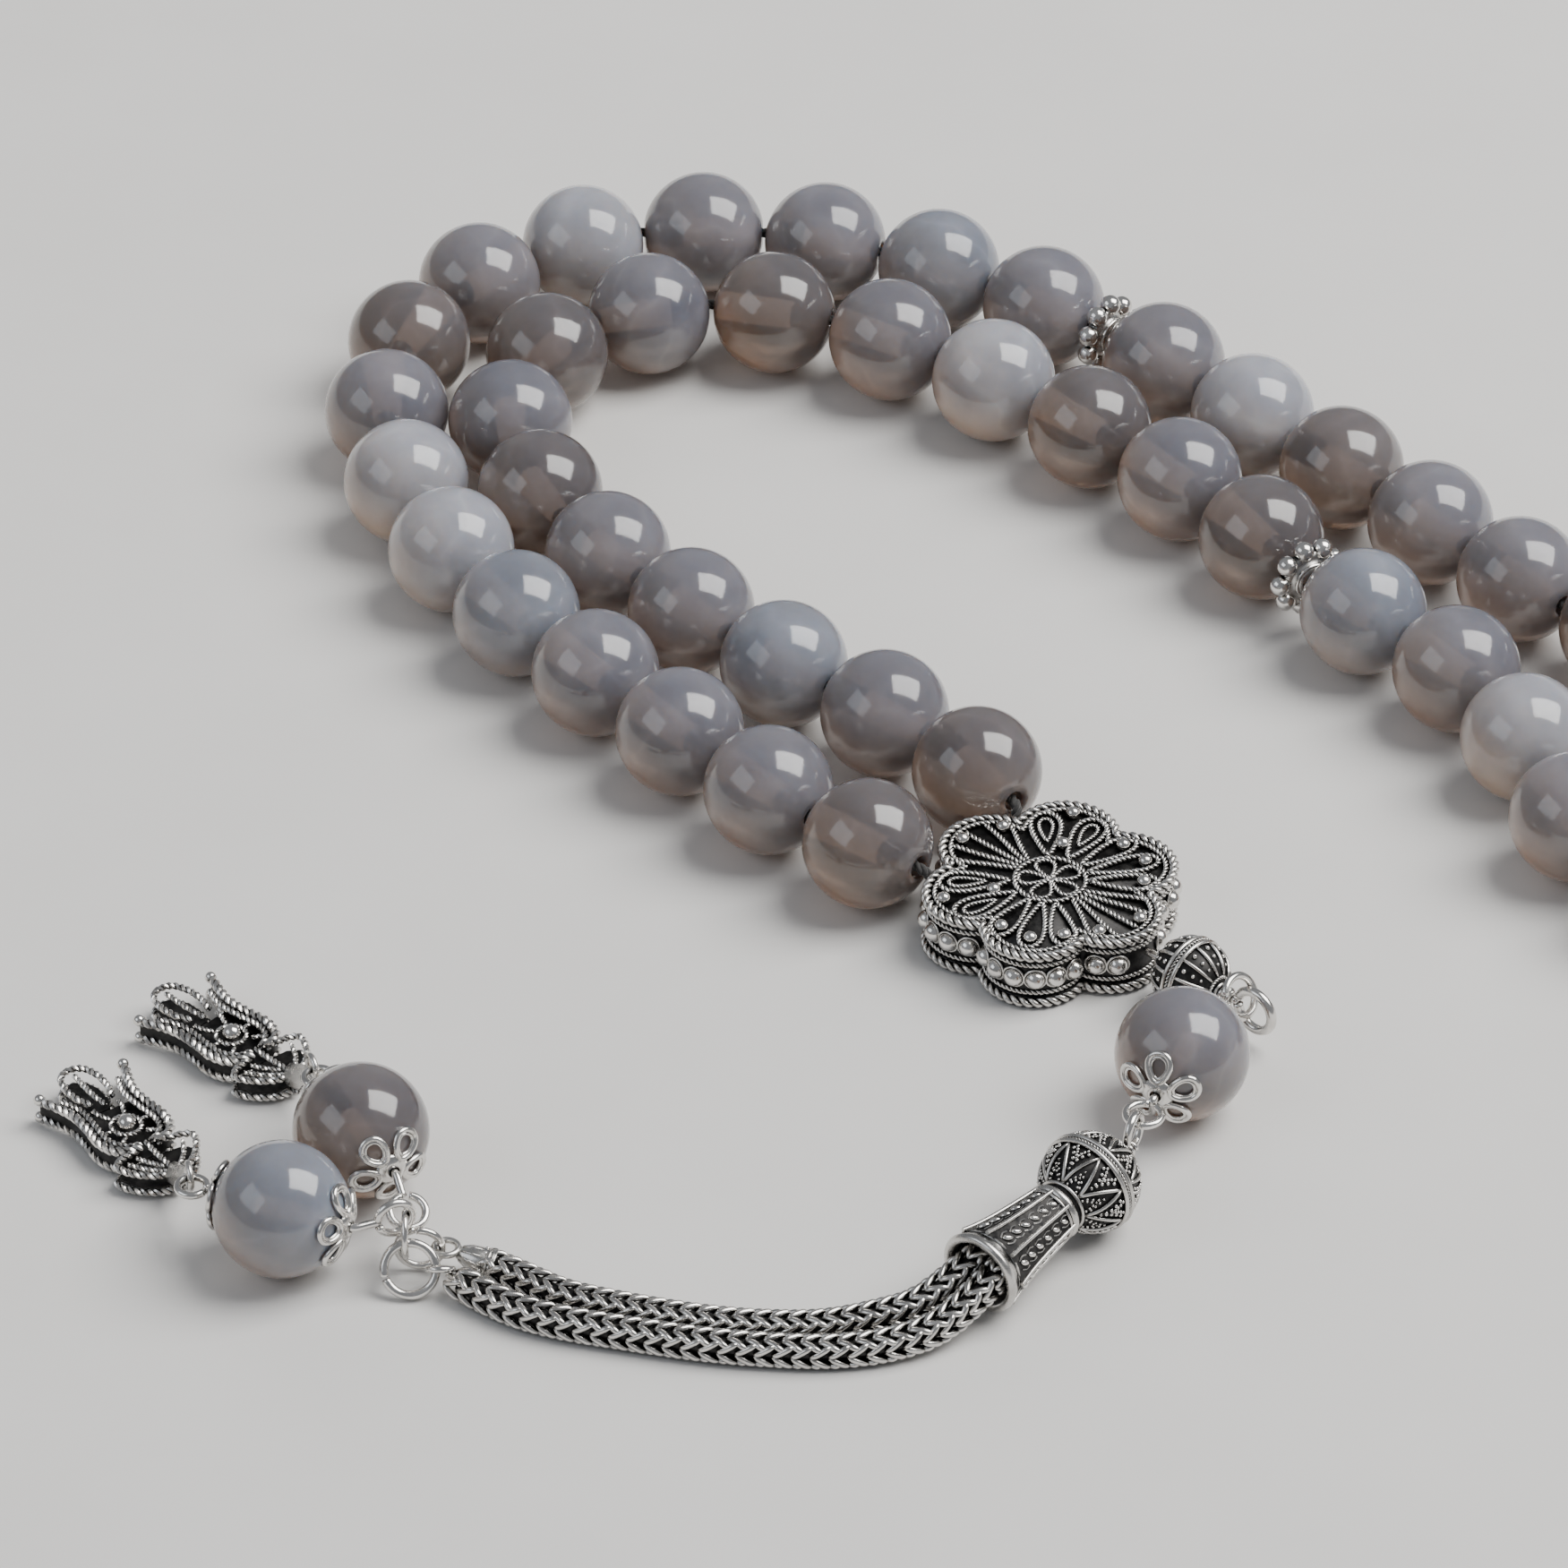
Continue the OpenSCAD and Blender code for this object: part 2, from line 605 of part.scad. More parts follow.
back_drop_pin();
back_drop_bead();
back_drop_cap();
back_foot_cap();
back_tulip();
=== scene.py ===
"""Misbaha prayer beads: the visual model. Lengths in this file are millimetres and become metres
where a mesh or light is made. Every piece is built at its rest place in the CAD frame."""
import math

import bmesh
import bpy
import numpy as np
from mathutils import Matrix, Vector, noise


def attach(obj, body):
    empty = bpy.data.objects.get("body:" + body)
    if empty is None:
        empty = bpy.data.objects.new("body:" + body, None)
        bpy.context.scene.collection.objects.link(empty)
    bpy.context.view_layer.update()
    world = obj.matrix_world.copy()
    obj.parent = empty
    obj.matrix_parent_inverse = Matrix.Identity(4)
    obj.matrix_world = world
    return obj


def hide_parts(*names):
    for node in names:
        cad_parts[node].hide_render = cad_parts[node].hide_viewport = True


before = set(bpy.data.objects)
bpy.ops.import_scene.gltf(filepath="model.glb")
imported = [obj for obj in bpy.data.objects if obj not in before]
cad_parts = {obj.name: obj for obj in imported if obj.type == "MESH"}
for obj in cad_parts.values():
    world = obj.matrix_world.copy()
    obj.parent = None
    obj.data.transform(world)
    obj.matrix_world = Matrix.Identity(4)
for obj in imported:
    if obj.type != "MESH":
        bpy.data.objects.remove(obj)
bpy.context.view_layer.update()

MM = 0.001
ROOT = "strand_and_plaque"


def vec(*p):
    return np.array(p, float)


def unit(v):
    v = np.array(v, float)
    return v / np.linalg.norm(v)


def basis(axis):
    """Three unit vectors, the last along axis and the first level, unless axis is upright."""
    w = unit(axis)
    h = np.array((1.0, 0, 0) if abs(w[2]) > 0.98 else (0, 0, 1.0))
    u = unit(np.cross(h, w))
    return u, np.cross(w, u), w


# ---------------------------------------------------------------- places shared with part.scad
def turned(angle):
    return vec(math.cos(math.radians(angle)), math.sin(math.radians(angle)), 0)


def blend4(a, b, c, d, t):
    return 0.5 * (2 * b + (c - a) * t + (2 * a - 5 * b + 4 * c - d) * t * t
                  + (3 * b - a - 3 * c + d) * t ** 3)


BEAD_R = 4.0
UP = vec(0, 0, 1)
Z_BEAD = BEAD_R * UP
BEAD_PITCH, DIVIDER_PITCH = 8.095, 2.0
BEADS_PER_RUN, BEAD_COUNT = 15, 45
LOOP_ROUTE = [
    (-3.9, -1.4), (-7.75, 0.8), (-11, 3), (-17.2, 8.8), (-22.5, 15), (-27.8, 21), (-33, 27.5),
    (-37.3, 34.3), (-40.2, 42), (-42, 50), (-40.8, 58), (-36, 65), (-29.5, 69.5), (-21.5, 71),
    (-13.5, 69.7), (-6, 66.5), (1.5, 61.5), (9, 55), (14.3, 48.7), (20, 42.8), (25.4, 36.6),
    (30.3, 30.3), (36, 25.3), (43.2, 21), (49.7, 14.5), (51.1, 5), (44.7, -1.8), (35, -0.5),
    (31, 8), (29.2, 16.3), (24.4, 23), (18.6, 28.5), (13.7, 36.5), (8.3, 43), (2.5, 49),
    (-4, 54.5), (-11, 59.3), (-19, 62), (-27.3, 60.8), (-33, 55), (-34, 47), (-31, 39),
    (-26.3, 32.7), (-21, 26.5), (-15.2, 21), (-9, 16), (-3.3, 11), (-1.7, 7), (1, 3),
]
SAMPLES = 24


def strand_knots():
    """Points between neighbours on the cord: equal chords along the smooth route."""
    p = [vec(x, y, 0) for x, y in LOOP_ROUTE]
    line = [blend4(p[i - 1], p[i], p[i + 1], p[i + 2], k / SAMPLES)
            for i in range(1, len(p) - 2) for k in range(SAMPLES)] + [p[-2]]
    last = len(line) - 1

    def sample(j):
        return line[min(max(j, 0), last)]

    def turn_at(j):
        a, b = sample(j) - sample(j - SAMPLES), sample(j + SAMPLES) - sample(j)
        la, lb = np.linalg.norm(a), np.linalg.norm(b)
        return 0.0 if la < 1 or lb < 1 else math.acos(min(float(a @ b) / la / lb, 1.0))

    out, j = [line[0]], 1
    for k in range(BEAD_COUNT + 2):
        if k in (BEADS_PER_RUN, 2 * BEADS_PER_RUN + 1):
            length = DIVIDER_PITCH
        else:
            length = BEAD_PITCH / math.cos(max(turn_at(j + m * SAMPLES // 2) for m in range(3)) / 2)
        here = out[-1]
        while j < last and np.linalg.norm(line[j] - here) < length:
            j += 1
        a, d = line[j - 1], line[j] - line[j - 1]
        f = a - here
        qa, qb, qc = float(d @ d), 2 * float(f @ d), float(f @ f) - length ** 2
        out.append(a + d * (-qb + math.sqrt(max(qb * qb - 4 * qa * qc, 0))) / (2 * qa))
    return out


KNOTS = strand_knots()
EXIT_ANGLE = -43
PLAQUE_H = 4.0
CORD_HOLE_Z = PLAQUE_H - 1.15
CORD_IN, CORD_OUT = turned(EXIT_ANGLE + 214), turned(EXIT_ANGLE + 149)
START_IN, START_WALL = 4.9 * CORD_IN + (CORD_HOLE_Z - 0.2) * UP, 7 * CORD_IN + CORD_HOLE_Z * UP
END_IN, END_WALL = 4.9 * CORD_OUT + (CORD_HOLE_Z - 0.2) * UP, 7 * CORD_OUT + CORD_HOLE_Z * UP
EXIT = turned(EXIT_ANGLE)
EXIT_Z = 2.4
ROUND_C = 11.2 * EXIT + EXIT_Z * UP
EYE_C = 16.2 * EXIT + EXIT_Z * UP
LINK_TILT = math.radians(60)
LINK_W = EYE_C + 1.3 * (math.sin(LINK_TILT) * UP - math.cos(LINK_TILT) * EXIT)
LINK_AXIS = math.sin(LINK_TILT) * EXIT + math.cos(LINK_TILT) * UP
PENDANT_C = vec(7.3, -17.2, 4)
PENDANT_DIR = turned(-113)
TOP_PULL = vec(-0.54, -0.84, 0.05)
TOP_EYE_C = LINK_W + 0.66 * unit(TOP_PULL - (TOP_PULL @ LINK_AXIS) * LINK_AXIS)
LOW_EYE_C = PENDANT_C + 6.2 * PENDANT_DIR
BEND_AT = BEAD_R + 0.6  # where a pin bends, from the middle of its bead
FOOT_AT = 5.6  # a drop's lower eye, from the middle of its bead
LOW_EYE_R, FOOT_EYE_R, EYE_WIRE_R = 1.05, 0.85, 0.235
IMAME_LEN, BELL_RIM_D, IMAME_BALL_D = 10.2, 5.2, 6.1
IMAME_C = vec(1.6, -28, IMAME_BALL_D / 2 + 0.02)
IMAME_DIR = unit(turned(-130) - (IMAME_BALL_D - BELL_RIM_D) / 2 / IMAME_LEN * UP)
IMAME_SIDE = turned(-40)
IMAME_BEND = IMAME_C - 3.4 * IMAME_DIR
IMAME_PULL = unit((IMAME_BEND - LOW_EYE_C) * vec(1, 1, 0))
IMAME_EYE_C = LOW_EYE_C + (LOW_EYE_R + 0.49) * IMAME_PULL - 0.12 * UP
FRONT_RING_C = vec(-37.4, -33.95, 1.5)
RING_TILT = math.radians(53)
FRONT_RING_N = vec(0, -math.sin(RING_TILT), math.cos(RING_TILT))
FRONT_RING_UP = vec(0, math.cos(RING_TILT), math.sin(RING_TILT))
BACK_RING_C = vec(-36.9, -32.1, 1.555)
GATHER_C = vec(-37.7, -32.3, 2.75)
END_LINK_C = FRONT_RING_C + vec(1.72, 0, 0)
END_EYE_C = BACK_RING_C + vec(1.52, 0, 0)
FRONT_C, FRONT_HEAD = vec(-44.8, -31.6, 4), unit((0.93, -0.37, 0))
FRONT_HEAD_EYE, FRONT_BASE = vec(-38.25, -32.42, 4.03), vec(-50.9, -25.6, 1.75)
BACK_C, BACK_HEAD = vec(-40.5, -24.35, 4), unit((0.47, -0.88, 0))
BACK_HEAD_EYE, BACK_BASE = vec(-37.6, -30.55, 2.95), vec(-44.4, -16.4, 1.75)
CHAIN_Z = 0.87


def chain_start(side):
    """Where a chain lies inside the bell and at its mouth."""
    return [IMAME_C + s * IMAME_DIR + side * 0.88 * IMAME_SIDE for s in (7.52, 9.6)]


FRONT_ROUTE = chain_start(1) + [
    vec(-7, -38.7, 1.4), vec(-10, -40, 1), vec(-13.5, -40.5, CHAIN_Z), vec(-17.5, -40.3, CHAIN_Z),
    vec(-21, -39.8, CHAIN_Z), vec(-25, -38.9, CHAIN_Z), vec(-28.5, -38, CHAIN_Z),
    vec(-31, -37, CHAIN_Z), vec(-33, -35.7, CHAIN_Z), vec(-34.5, -34.6, 1),
]
BACK_ROUTE = chain_start(-1) + [
    vec(-8.2, -36.9, 1.5), vec(-11, -37.8, 1.1), vec(-14, -38.3, CHAIN_Z), vec(-17.5, -38.3, CHAIN_Z),
    vec(-21, -37.8, CHAIN_Z), vec(-25, -36.8, CHAIN_Z), vec(-28.5, -35.6, CHAIN_Z),
    vec(-31, -34, CHAIN_Z), vec(-33, -32.7, CHAIN_Z),
]

# ---------------------------------------------------------------- camera, light and floor
scene = bpy.context.scene
cam = bpy.data.objects.new("camera", bpy.data.cameras.new("camera"))
scene.collection.objects.link(cam)
cam.data.lens = 214.0
cam.data.sensor_width = 36.0
cam.data.clip_start = 0.01
cam.data.clip_end = 10
cam.location = (-0.0160, -0.4462, 0.3412)
cam.rotation_euler = (math.radians(53.49), 0, 0)
scene.camera = cam

TARGET = Vector((-0.016, 0.0095, 0.004))
KEY_WAY = Vector((0.558, 0.077, 0.828)).normalized()  # towards the big softbox


def softbox(name, way, dist, size_x, size_y, power, colour=(1, 1, 1)):
    light = bpy.data.lights.new(name, "AREA")
    light.shape = "RECTANGLE"
    light.size, light.size_y = size_x, size_y
    light.energy = power
    light.color = colour
    ob = bpy.data.objects.new(name, light)
    scene.collection.objects.link(ob)
    ob.location = TARGET + way * dist
    ob.rotation_euler = way.to_track_quat("Z", "Y").to_euler()
    return ob


softbox("key", KEY_WAY, 0.9, 0.60, 0.72, 13.0, (1.0, 0.985, 0.96))
softbox("fill", Vector((-0.75, -0.35, 0.62)).normalized(), 1.2, 0.9, 0.6, 2.6, (0.86, 0.92, 1.0))
back = softbox("back", Vector((-0.2, 0.86, 0.5)).normalized(), 1.2, 1.0, 0.35, 2.4, (1.0, 0.94, 0.86))
back.visible_glossy = False

world = bpy.data.worlds.new("studio")
world.use_nodes = True
world.node_tree.nodes["Background"].inputs[0].default_value = (0.80, 0.83, 0.88, 1)
world.node_tree.nodes["Background"].inputs[1].default_value = 0.30
scene.world = world


# ---------------------------------------------------------------- materials
def new_material(name):
    m = bpy.data.materials.new(name)
    m.use_nodes = True
    nodes, links = m.node_tree.nodes, m.node_tree.links
    at = nodes.new("ShaderNodeTexCoord").outputs["Object"]
    return m, nodes, links, nodes["Principled BSDF"], at


def put(node, **values):
    """Set a node's inputs by name, with an underscore for each space."""
    for name, value in values.items():
        node.inputs[name.replace("_", " ")].default_value = value


def noise_node(nodes, links, coord, scale, detail=3.0, rough=0.5):
    n = nodes.new("ShaderNodeTexNoise")
    put(n, Scale=scale, Detail=detail, Roughness=rough)
    links.new(coord, n.inputs["Vector"])
    return n.outputs["Fac"]


def ramp(nodes, links, fac, stops):
    r = nodes.new("ShaderNodeValToRGB")
    while len(r.color_ramp.elements) < len(stops):
        r.color_ramp.elements.new(0.5)
    for e, (at, col) in zip(r.color_ramp.elements, stops):
        e.position = at
        e.color = (*col, 1) if len(col) == 3 else col
    links.new(fac, r.inputs["Fac"])
    return r.outputs["Color"]


def remap(nodes, links, fac, low, high):
    r = nodes.new("ShaderNodeMapRange")
    put(r, From_Min=0.25, From_Max=0.75, To_Min=low, To_Max=high)
    links.new(fac, r.inputs["Value"])
    return r.outputs["Result"]


def bump(nodes, links, bsdf, height, distance, strength=1.0):
    b = nodes.new("ShaderNodeBump")
    put(b, Distance=distance, Strength=strength)
    links.new(height, b.inputs["Height"])
    links.new(b.outputs["Normal"], bsdf.inputs["Normal"])


def mix(nodes, links, fac, a, b, blend="MIX"):
    m = nodes.new("ShaderNodeMix")
    m.data_type = "RGBA"
    m.blend_type = blend
    for sock, val in ((m.inputs["Factor"], fac), (m.inputs["A"], a), (m.inputs["B"], b)):
        if hasattr(val, "links"):
            links.new(val, sock)
        elif isinstance(val, tuple):
            sock.default_value = (*val, 1)
        else:
            sock.default_value = val
    return m.outputs["Result"]


def silver(name, bright, dark, reach, rough, edge=0.55):
    """Silver whose recesses are oxidised; reach is how wide a recess is, in mm."""
    m, nodes, links, bsdf, at = new_material(name)
    ao = nodes.new("ShaderNodeAmbientOcclusion")
    ao.samples = 8
    put(ao, Distance=reach * MM)
    patch = noise_node(nodes, links, at, 900.0, 4.0, 0.6)
    fine = noise_node(nodes, links, at, 5200.0, 3.0, 0.6)
    worn = ramp(nodes, links, ao.outputs["AO"], [
        (max(edge - 0.28, 0.0), dark), (edge, tuple(0.45 * b for b in bright)), (edge + 0.25, bright)])
    tone = ramp(nodes, links, patch, [(0.3, (0.72, 0.71, 0.70)), (0.6, (1.0, 1.0, 1.0))])
    links.new(mix(nodes, links, 0.8, worn, tone, "MULTIPLY"), bsdf.inputs["Base Color"])
    links.new(remap(nodes, links, patch, rough * 0.75, rough * 1.4), bsdf.inputs["Roughness"])
    put(bsdf, Metallic=1.0)
    bump(nodes, links, bsdf, fine, 0.012 * MM, 0.5)
    return m


BRIGHT = (0.82, 0.80, 0.77)
wire_silver = silver("wire_silver", BRIGHT, (0.10, 0.095, 0.09), 0.25, 0.17, 0.42)
rope_silver = silver("rope_silver", (0.78, 0.76, 0.73), (0.022, 0.021, 0.022), 0.30, 0.24, 0.62)
grain_silver = silver("grain_silver", (0.84, 0.82, 0.79), (0.03, 0.03, 0.03), 0.30, 0.16, 0.5)
chain_silver = silver("chain_silver", (0.74, 0.72, 0.69), (0.018, 0.017, 0.017), 0.35, 0.22, 0.6)
cast_silver = silver("cast_silver", (0.66, 0.645, 0.62), (0.03, 0.03, 0.03), 0.4, 0.25, 0.5)


def oxide_material():
    m, nodes, links, bsdf, at = new_material("oxide")
    n = noise_node(nodes, links, at, 1400.0, 5.0, 0.65)
    links.new(ramp(nodes, links, n, [(0.35, (0.012, 0.012, 0.013)), (0.7, (0.06, 0.058, 0.056))]),
              bsdf.inputs["Base Color"])
    links.new(remap(nodes, links, n, 0.35, 0.6), bsdf.inputs["Roughness"])
    put(bsdf, Metallic=0.85)
    bump(nodes, links, bsdf, n, 0.03 * MM, 0.6)
    return m


oxide = oxide_material()


def thread_material():
    m, nodes, links, bsdf, at = new_material("thread")
    n = noise_node(nodes, links, at, 6000.0, 4.0, 0.7)
    links.new(ramp(nodes, links, n, [(0.3, (0.012, 0.012, 0.013)), (0.7, (0.05, 0.048, 0.046))]),
              bsdf.inputs["Base Color"])
    put(bsdf, Roughness=0.75, Sheen_Weight=0.3)
    bump(nodes, links, bsdf, n, 0.03 * MM, 0.8)
    return m


thread = thread_material()


def agate(name, top, middle, low, clear, scatter):
    """Translucent agate. The painted-glow attribute runs from 0 on the lit side to 1 opposite; the colour is
    painted from a cool lit tone there to a warm painted glow, where light would come out.
    """
    m, nodes, links, bsdf, at = new_material(name)
    painted_glow, band = nodes.new("ShaderNodeAttribute"), nodes.new("ShaderNodeAttribute")
    painted_glow.attribute_name, band.attribute_name = "painted_glow", "band"
    cloud = noise_node(nodes, links, at, 210.0, 4.0, 0.55)
    fine = noise_node(nodes, links, at, 1500.0, 3.0, 0.6)
    # painted light: top is the colour of the lit side, low the warm glow painted on the side away from the
    # key light, middle between them
    body = ramp(nodes, links, painted_glow.outputs["Fac"], [(0.12, top), (0.5, middle), (0.92, low)])
    veil = ramp(nodes, links, cloud, [(0.32, (0.82, 0.82, 0.84)), (0.68, (1.12, 1.11, 1.10))])
    veins = ramp(nodes, links, band.outputs["Fac"], [
        (0.0, (0.84, 0.85, 0.88)), (0.35, (1.0, 1.0, 1.0)), (0.52, (1.14, 1.13, 1.12)),
        (0.70, (1.0, 1.0, 1.0)), (1.0, (0.92, 0.90, 0.88))])
    col = mix(nodes, links, 1.0, body, veil, "MULTIPLY")
    col = mix(nodes, links, 0.7, col, veins, "MULTIPLY")
    links.new(col, bsdf.inputs["Base Color"])
    links.new(remap(nodes, links, fine, 0.10, 0.16), bsdf.inputs["Roughness"])
    put(bsdf, IOR=1.54, Transmission_Weight=clear, Subsurface_Weight=1.0, Subsurface_Scale=scatter * MM,
        Subsurface_Radius=(1.0, 0.62, 0.42), Coat_Weight=0.45, Coat_Roughness=0.07)
    bump(nodes, links, bsdf, fine, 0.004 * MM, 0.35)
    return m


# each agate: colour of the lit side, the middle, and the warm glow painted away from the key light; then how
# clear it is and how far light scatters, in mm
AGATES = [
    agate("agate_grey", (0.25, 0.255, 0.30), (0.27, 0.25, 0.25), (0.47, 0.31, 0.22), 0.34, 1.8),
    agate("agate_milky", (0.40, 0.42, 0.475), (0.41, 0.395, 0.40), (0.52, 0.39, 0.30), 0.15, 2.4),
    agate("agate_smoky", (0.19, 0.18, 0.195), (0.24, 0.20, 0.18), (0.44, 0.27, 0.17), 0.46, 1.5),
    agate("agate_blue", (0.29, 0.32, 0.385), (0.31, 0.31, 0.33), (0.45, 0.34, 0.27), 0.26, 2.0),
]


def bore_material():
    """Ground wall of the drilled hole, which shows through the clear stone as a pale warm band. Its pale warm
    colour is the ground stone's own; its emission is a painted glow, as if light reached it through the
    stone, though it is no lamp.
    """
    m, nodes, links, bsdf, at = new_material("ground_bore_painted_glow")
    n = noise_node(nodes, links, at, 2600.0, 3.0, 0.6)
    links.new(ramp(nodes, links, n, [(0.3, (0.50, 0.40, 0.33)), (0.7, (0.72, 0.60, 0.52))]),
              bsdf.inputs["Base Color"])
    # painted glow: the emission makes the bore give off light though it is no lamp
    put(bsdf, Roughness=0.8, Emission_Color=(0.80, 0.58, 0.44, 1), Emission_Strength=0.35)
    return m


bore_painted_glow = bore_material()


def floor_material():
    m, nodes, links, bsdf, at = new_material("floor")
    n = noise_node(nodes, links, at, 55.0, 4.0, 0.6)
    links.new(ramp(nodes, links, n, [(0.3, (0.70, 0.69, 0.675)), (0.7, (0.73, 0.72, 0.705))]),
              bsdf.inputs["Base Color"])
    put(bsdf, Roughness=0.85)
    return m


fl = bpy.data.meshes.new("floor")
fl.from_pydata([(-1.5, -1.5, 0), (1.5, -1.5, 0), (1.5, 1.5, 0), (-1.5, 1.5, 0)], [], [(0, 1, 2, 3)])
fl.materials.append(floor_material())
floor = bpy.data.objects.new("floor", fl)
floor.location = (0, 0, -0.00012)
scene.collection.objects.link(floor)


# ---------------------------------------------------------------- mesh building
def spoke(t, u, v):
    """Direction at angle t in the plane of u and v."""
    return math.cos(t) * u + math.sin(t) * v


def ring_faces(rows, seg, wrap=False):
    """Quads between neighbouring rows of seg points each; wrap joins the last row to the first."""
    out = []
    for i in range(rows if wrap else rows - 1):
        a, b = i * seg, (i + 1) % rows * seg
        out += [(a + j, a + (j + 1) % seg, b + (j + 1) % seg, b + j) for j in range(seg)]
    return out


def end_faces(rows, seg):
    """One face over the first row of points and one over the last."""
    return [tuple(range(seg - 1, -1, -1)), tuple(range((rows - 1) * seg, rows * seg))]


class Shape:
    """Vertices in mm, faces and one material index for each face."""

    def __init__(self):
        self.v, self.f, self.m, self.n = [], [], [], 0

    def add(self, v, f, mat=0):
        v = np.asarray(v, float)
        self.v.append(v)
        self.f.extend([tuple(i + self.n for i in q) for q in f])
        self.m.extend([mat] * len(f))
        self.n += len(v)

    def tube(self, path, r, sides=8, closed=False, mat=0):
        """Round wire along path; r is one radius, or one for each point."""
        p = np.asarray(path, float)
        n = len(p)
        rr = np.broadcast_to(np.asarray(r, float), (n,))
        _, a, b = frame_along(p, closed)
        ang = np.linspace(0, 2 * math.pi, sides, endpoint=False)
        ring = (np.cos(ang)[None, :, None] * a[:, None] + np.sin(ang)[None, :, None] * b[:, None])
        v = (p[:, None] + rr[:, None, None] * ring).reshape(-1, 3)
        self.add(v, ring_faces(n, sides, closed) + ([] if closed else end_faces(n, sides)), mat)

    def lathe(self, c, axis, profile, seg=32, mat=0, closed=False, wobble=None):
        """profile: (radius, height) pairs from low to high; a radius of 0 closes the end."""
        u, v, w = basis(axis)
        c = np.asarray(c, float)
        pts, rows = [], []
        for k, (r, h) in enumerate(profile):
            if r < 1e-6:
                rows.append([len(pts)])
                pts.append(c + h * w)
            else:
                row = []
                for s in range(seg):
                    a = 2 * math.pi * s / seg
                    q = r * (wobble(a, k) if wobble else 1.0)
                    row.append(len(pts))
                    pts.append(c + q * spoke(a, u, v) + h * w)
                rows.append(row)
        f = []
        pairs = list(zip(rows, rows[1:] + rows[:1])) if closed else list(zip(rows, rows[1:]))
        for lo, hi in pairs:
            if len(lo) == 1 and len(hi) == 1:
                continue
            for s in range(seg):
                t = (s + 1) % seg
                if len(lo) == 1:
                    f.append((lo[0], hi[t], hi[s]))
                elif len(hi) == 1:
                    f.append((lo[s], lo[t], hi[0]))
                else:
                    f.append((lo[s], lo[t], hi[t], hi[s]))
        self.add(pts, f, mat)

    def grain(self, c, r, mat=0, axis=(0, 0, 1), stretch=1.0, seg=12, rings=8):
        prof = [(r * math.sin(math.pi * k / rings), -r * stretch * math.cos(math.pi * k / rings))
                for k in range(rings + 1)]
        prof[0], prof[-1] = (0, prof[0][1]), (0, prof[-1][1])
        self.lathe(c, axis, prof, seg, mat)

    def rope(self, path, d, pitch, closed=False, mat=0, strands=2, sides=6, per=8):
        """Twisted wire: strands wound round each other along the path."""
        p = resample(path, pitch / per, closed)
        n = len(p)
        _, a, b = frame_along(p, closed)
        length = n * pitch / per if closed else (n - 1) * pitch / per
        turns = max(1, round(length / pitch)) if closed else length / pitch
        th = 2 * math.pi * turns * np.arange(n) / (n if closed else max(n - 1, 1))
        for s in range(strands):
            w = th + 2 * math.pi * s / strands
            rh = 0.25 * d if strands == 2 else 0.28 * d
            q = p + rh * (np.cos(w)[:, None] * a + np.sin(w)[:, None] * b)
            r = 0.25 * d if strands == 2 else 0.24 * d
            if closed or n < 4:
                self.tube(q, r, sides, closed, mat)
            else:
                rr = np.full(n, r)
                rr[0] = rr[-1] = 0.5 * r
                self.tube(q, rr, sides, closed, mat)


def frame_along(p, closed=False):
    n = len(p)
    if closed:
        t = np.roll(p, -1, 0) - np.roll(p, 1, 0)
    else:
        t = np.gradient(p, axis=0)
    t = t / np.linalg.norm(t, axis=1)[:, None]
    a = np.zeros_like(t)
    a[0] = basis(t[0])[0]
    for i in range(1, n):
        q = a[i - 1] - np.dot(a[i - 1], t[i]) * t[i]
        a[i] = q / np.linalg.norm(q)
    if closed:
        q = a[-1] - np.dot(a[-1], t[0]) * t[0]
        q /= np.linalg.norm(q)
        gap = math.atan2(np.dot(np.cross(q, a[0]), t[0]), np.dot(q, a[0]))
        b = np.cross(t, a)
        w = gap * np.arange(n) / n
        a = np.cos(w)[:, None] * a + np.sin(w)[:, None] * b
    return t, a, np.cross(t, a)


def resample(path, step, closed=False):
    p = np.asarray(path, float)
    if closed:
        p = np.vstack([p, p[:1]])
    seg = np.linalg.norm(np.diff(p, axis=0), axis=1)
    s = np.concatenate([[0], np.cumsum(seg)])
    n = max(int(round(s[-1] / step)), 3)
    at = np.linspace(0, s[-1], n + 1)
    if closed:
        at = at[:-1]
    return np.stack([np.interp(at, s, p[:, k]) for k in range(3)], 1)


def curve(points, n=8, closed=False):
    """Smooth curve through the points."""
    p = np.asarray(points, float)
    if p.shape[1] == 2:
        p = np.hstack([p, np.zeros((len(p), 1))])
    if closed:
        q = np.vstack([p[-1], p, p[0], p[1]])
    else:
        q = np.vstack([2 * p[0] - p[1], p, 2 * p[-1] - p[-2]])
    out = []
    for i in range(1, len(q) - 2):
        a, b, c, d = q[i - 1], q[i], q[i + 1], q[i + 2]
        for k in range(n):
            t = k / n
            out.append(blend4(a, b, c, d, t))
    if not closed:
        out.append(q[-2])
    return np.array(out)


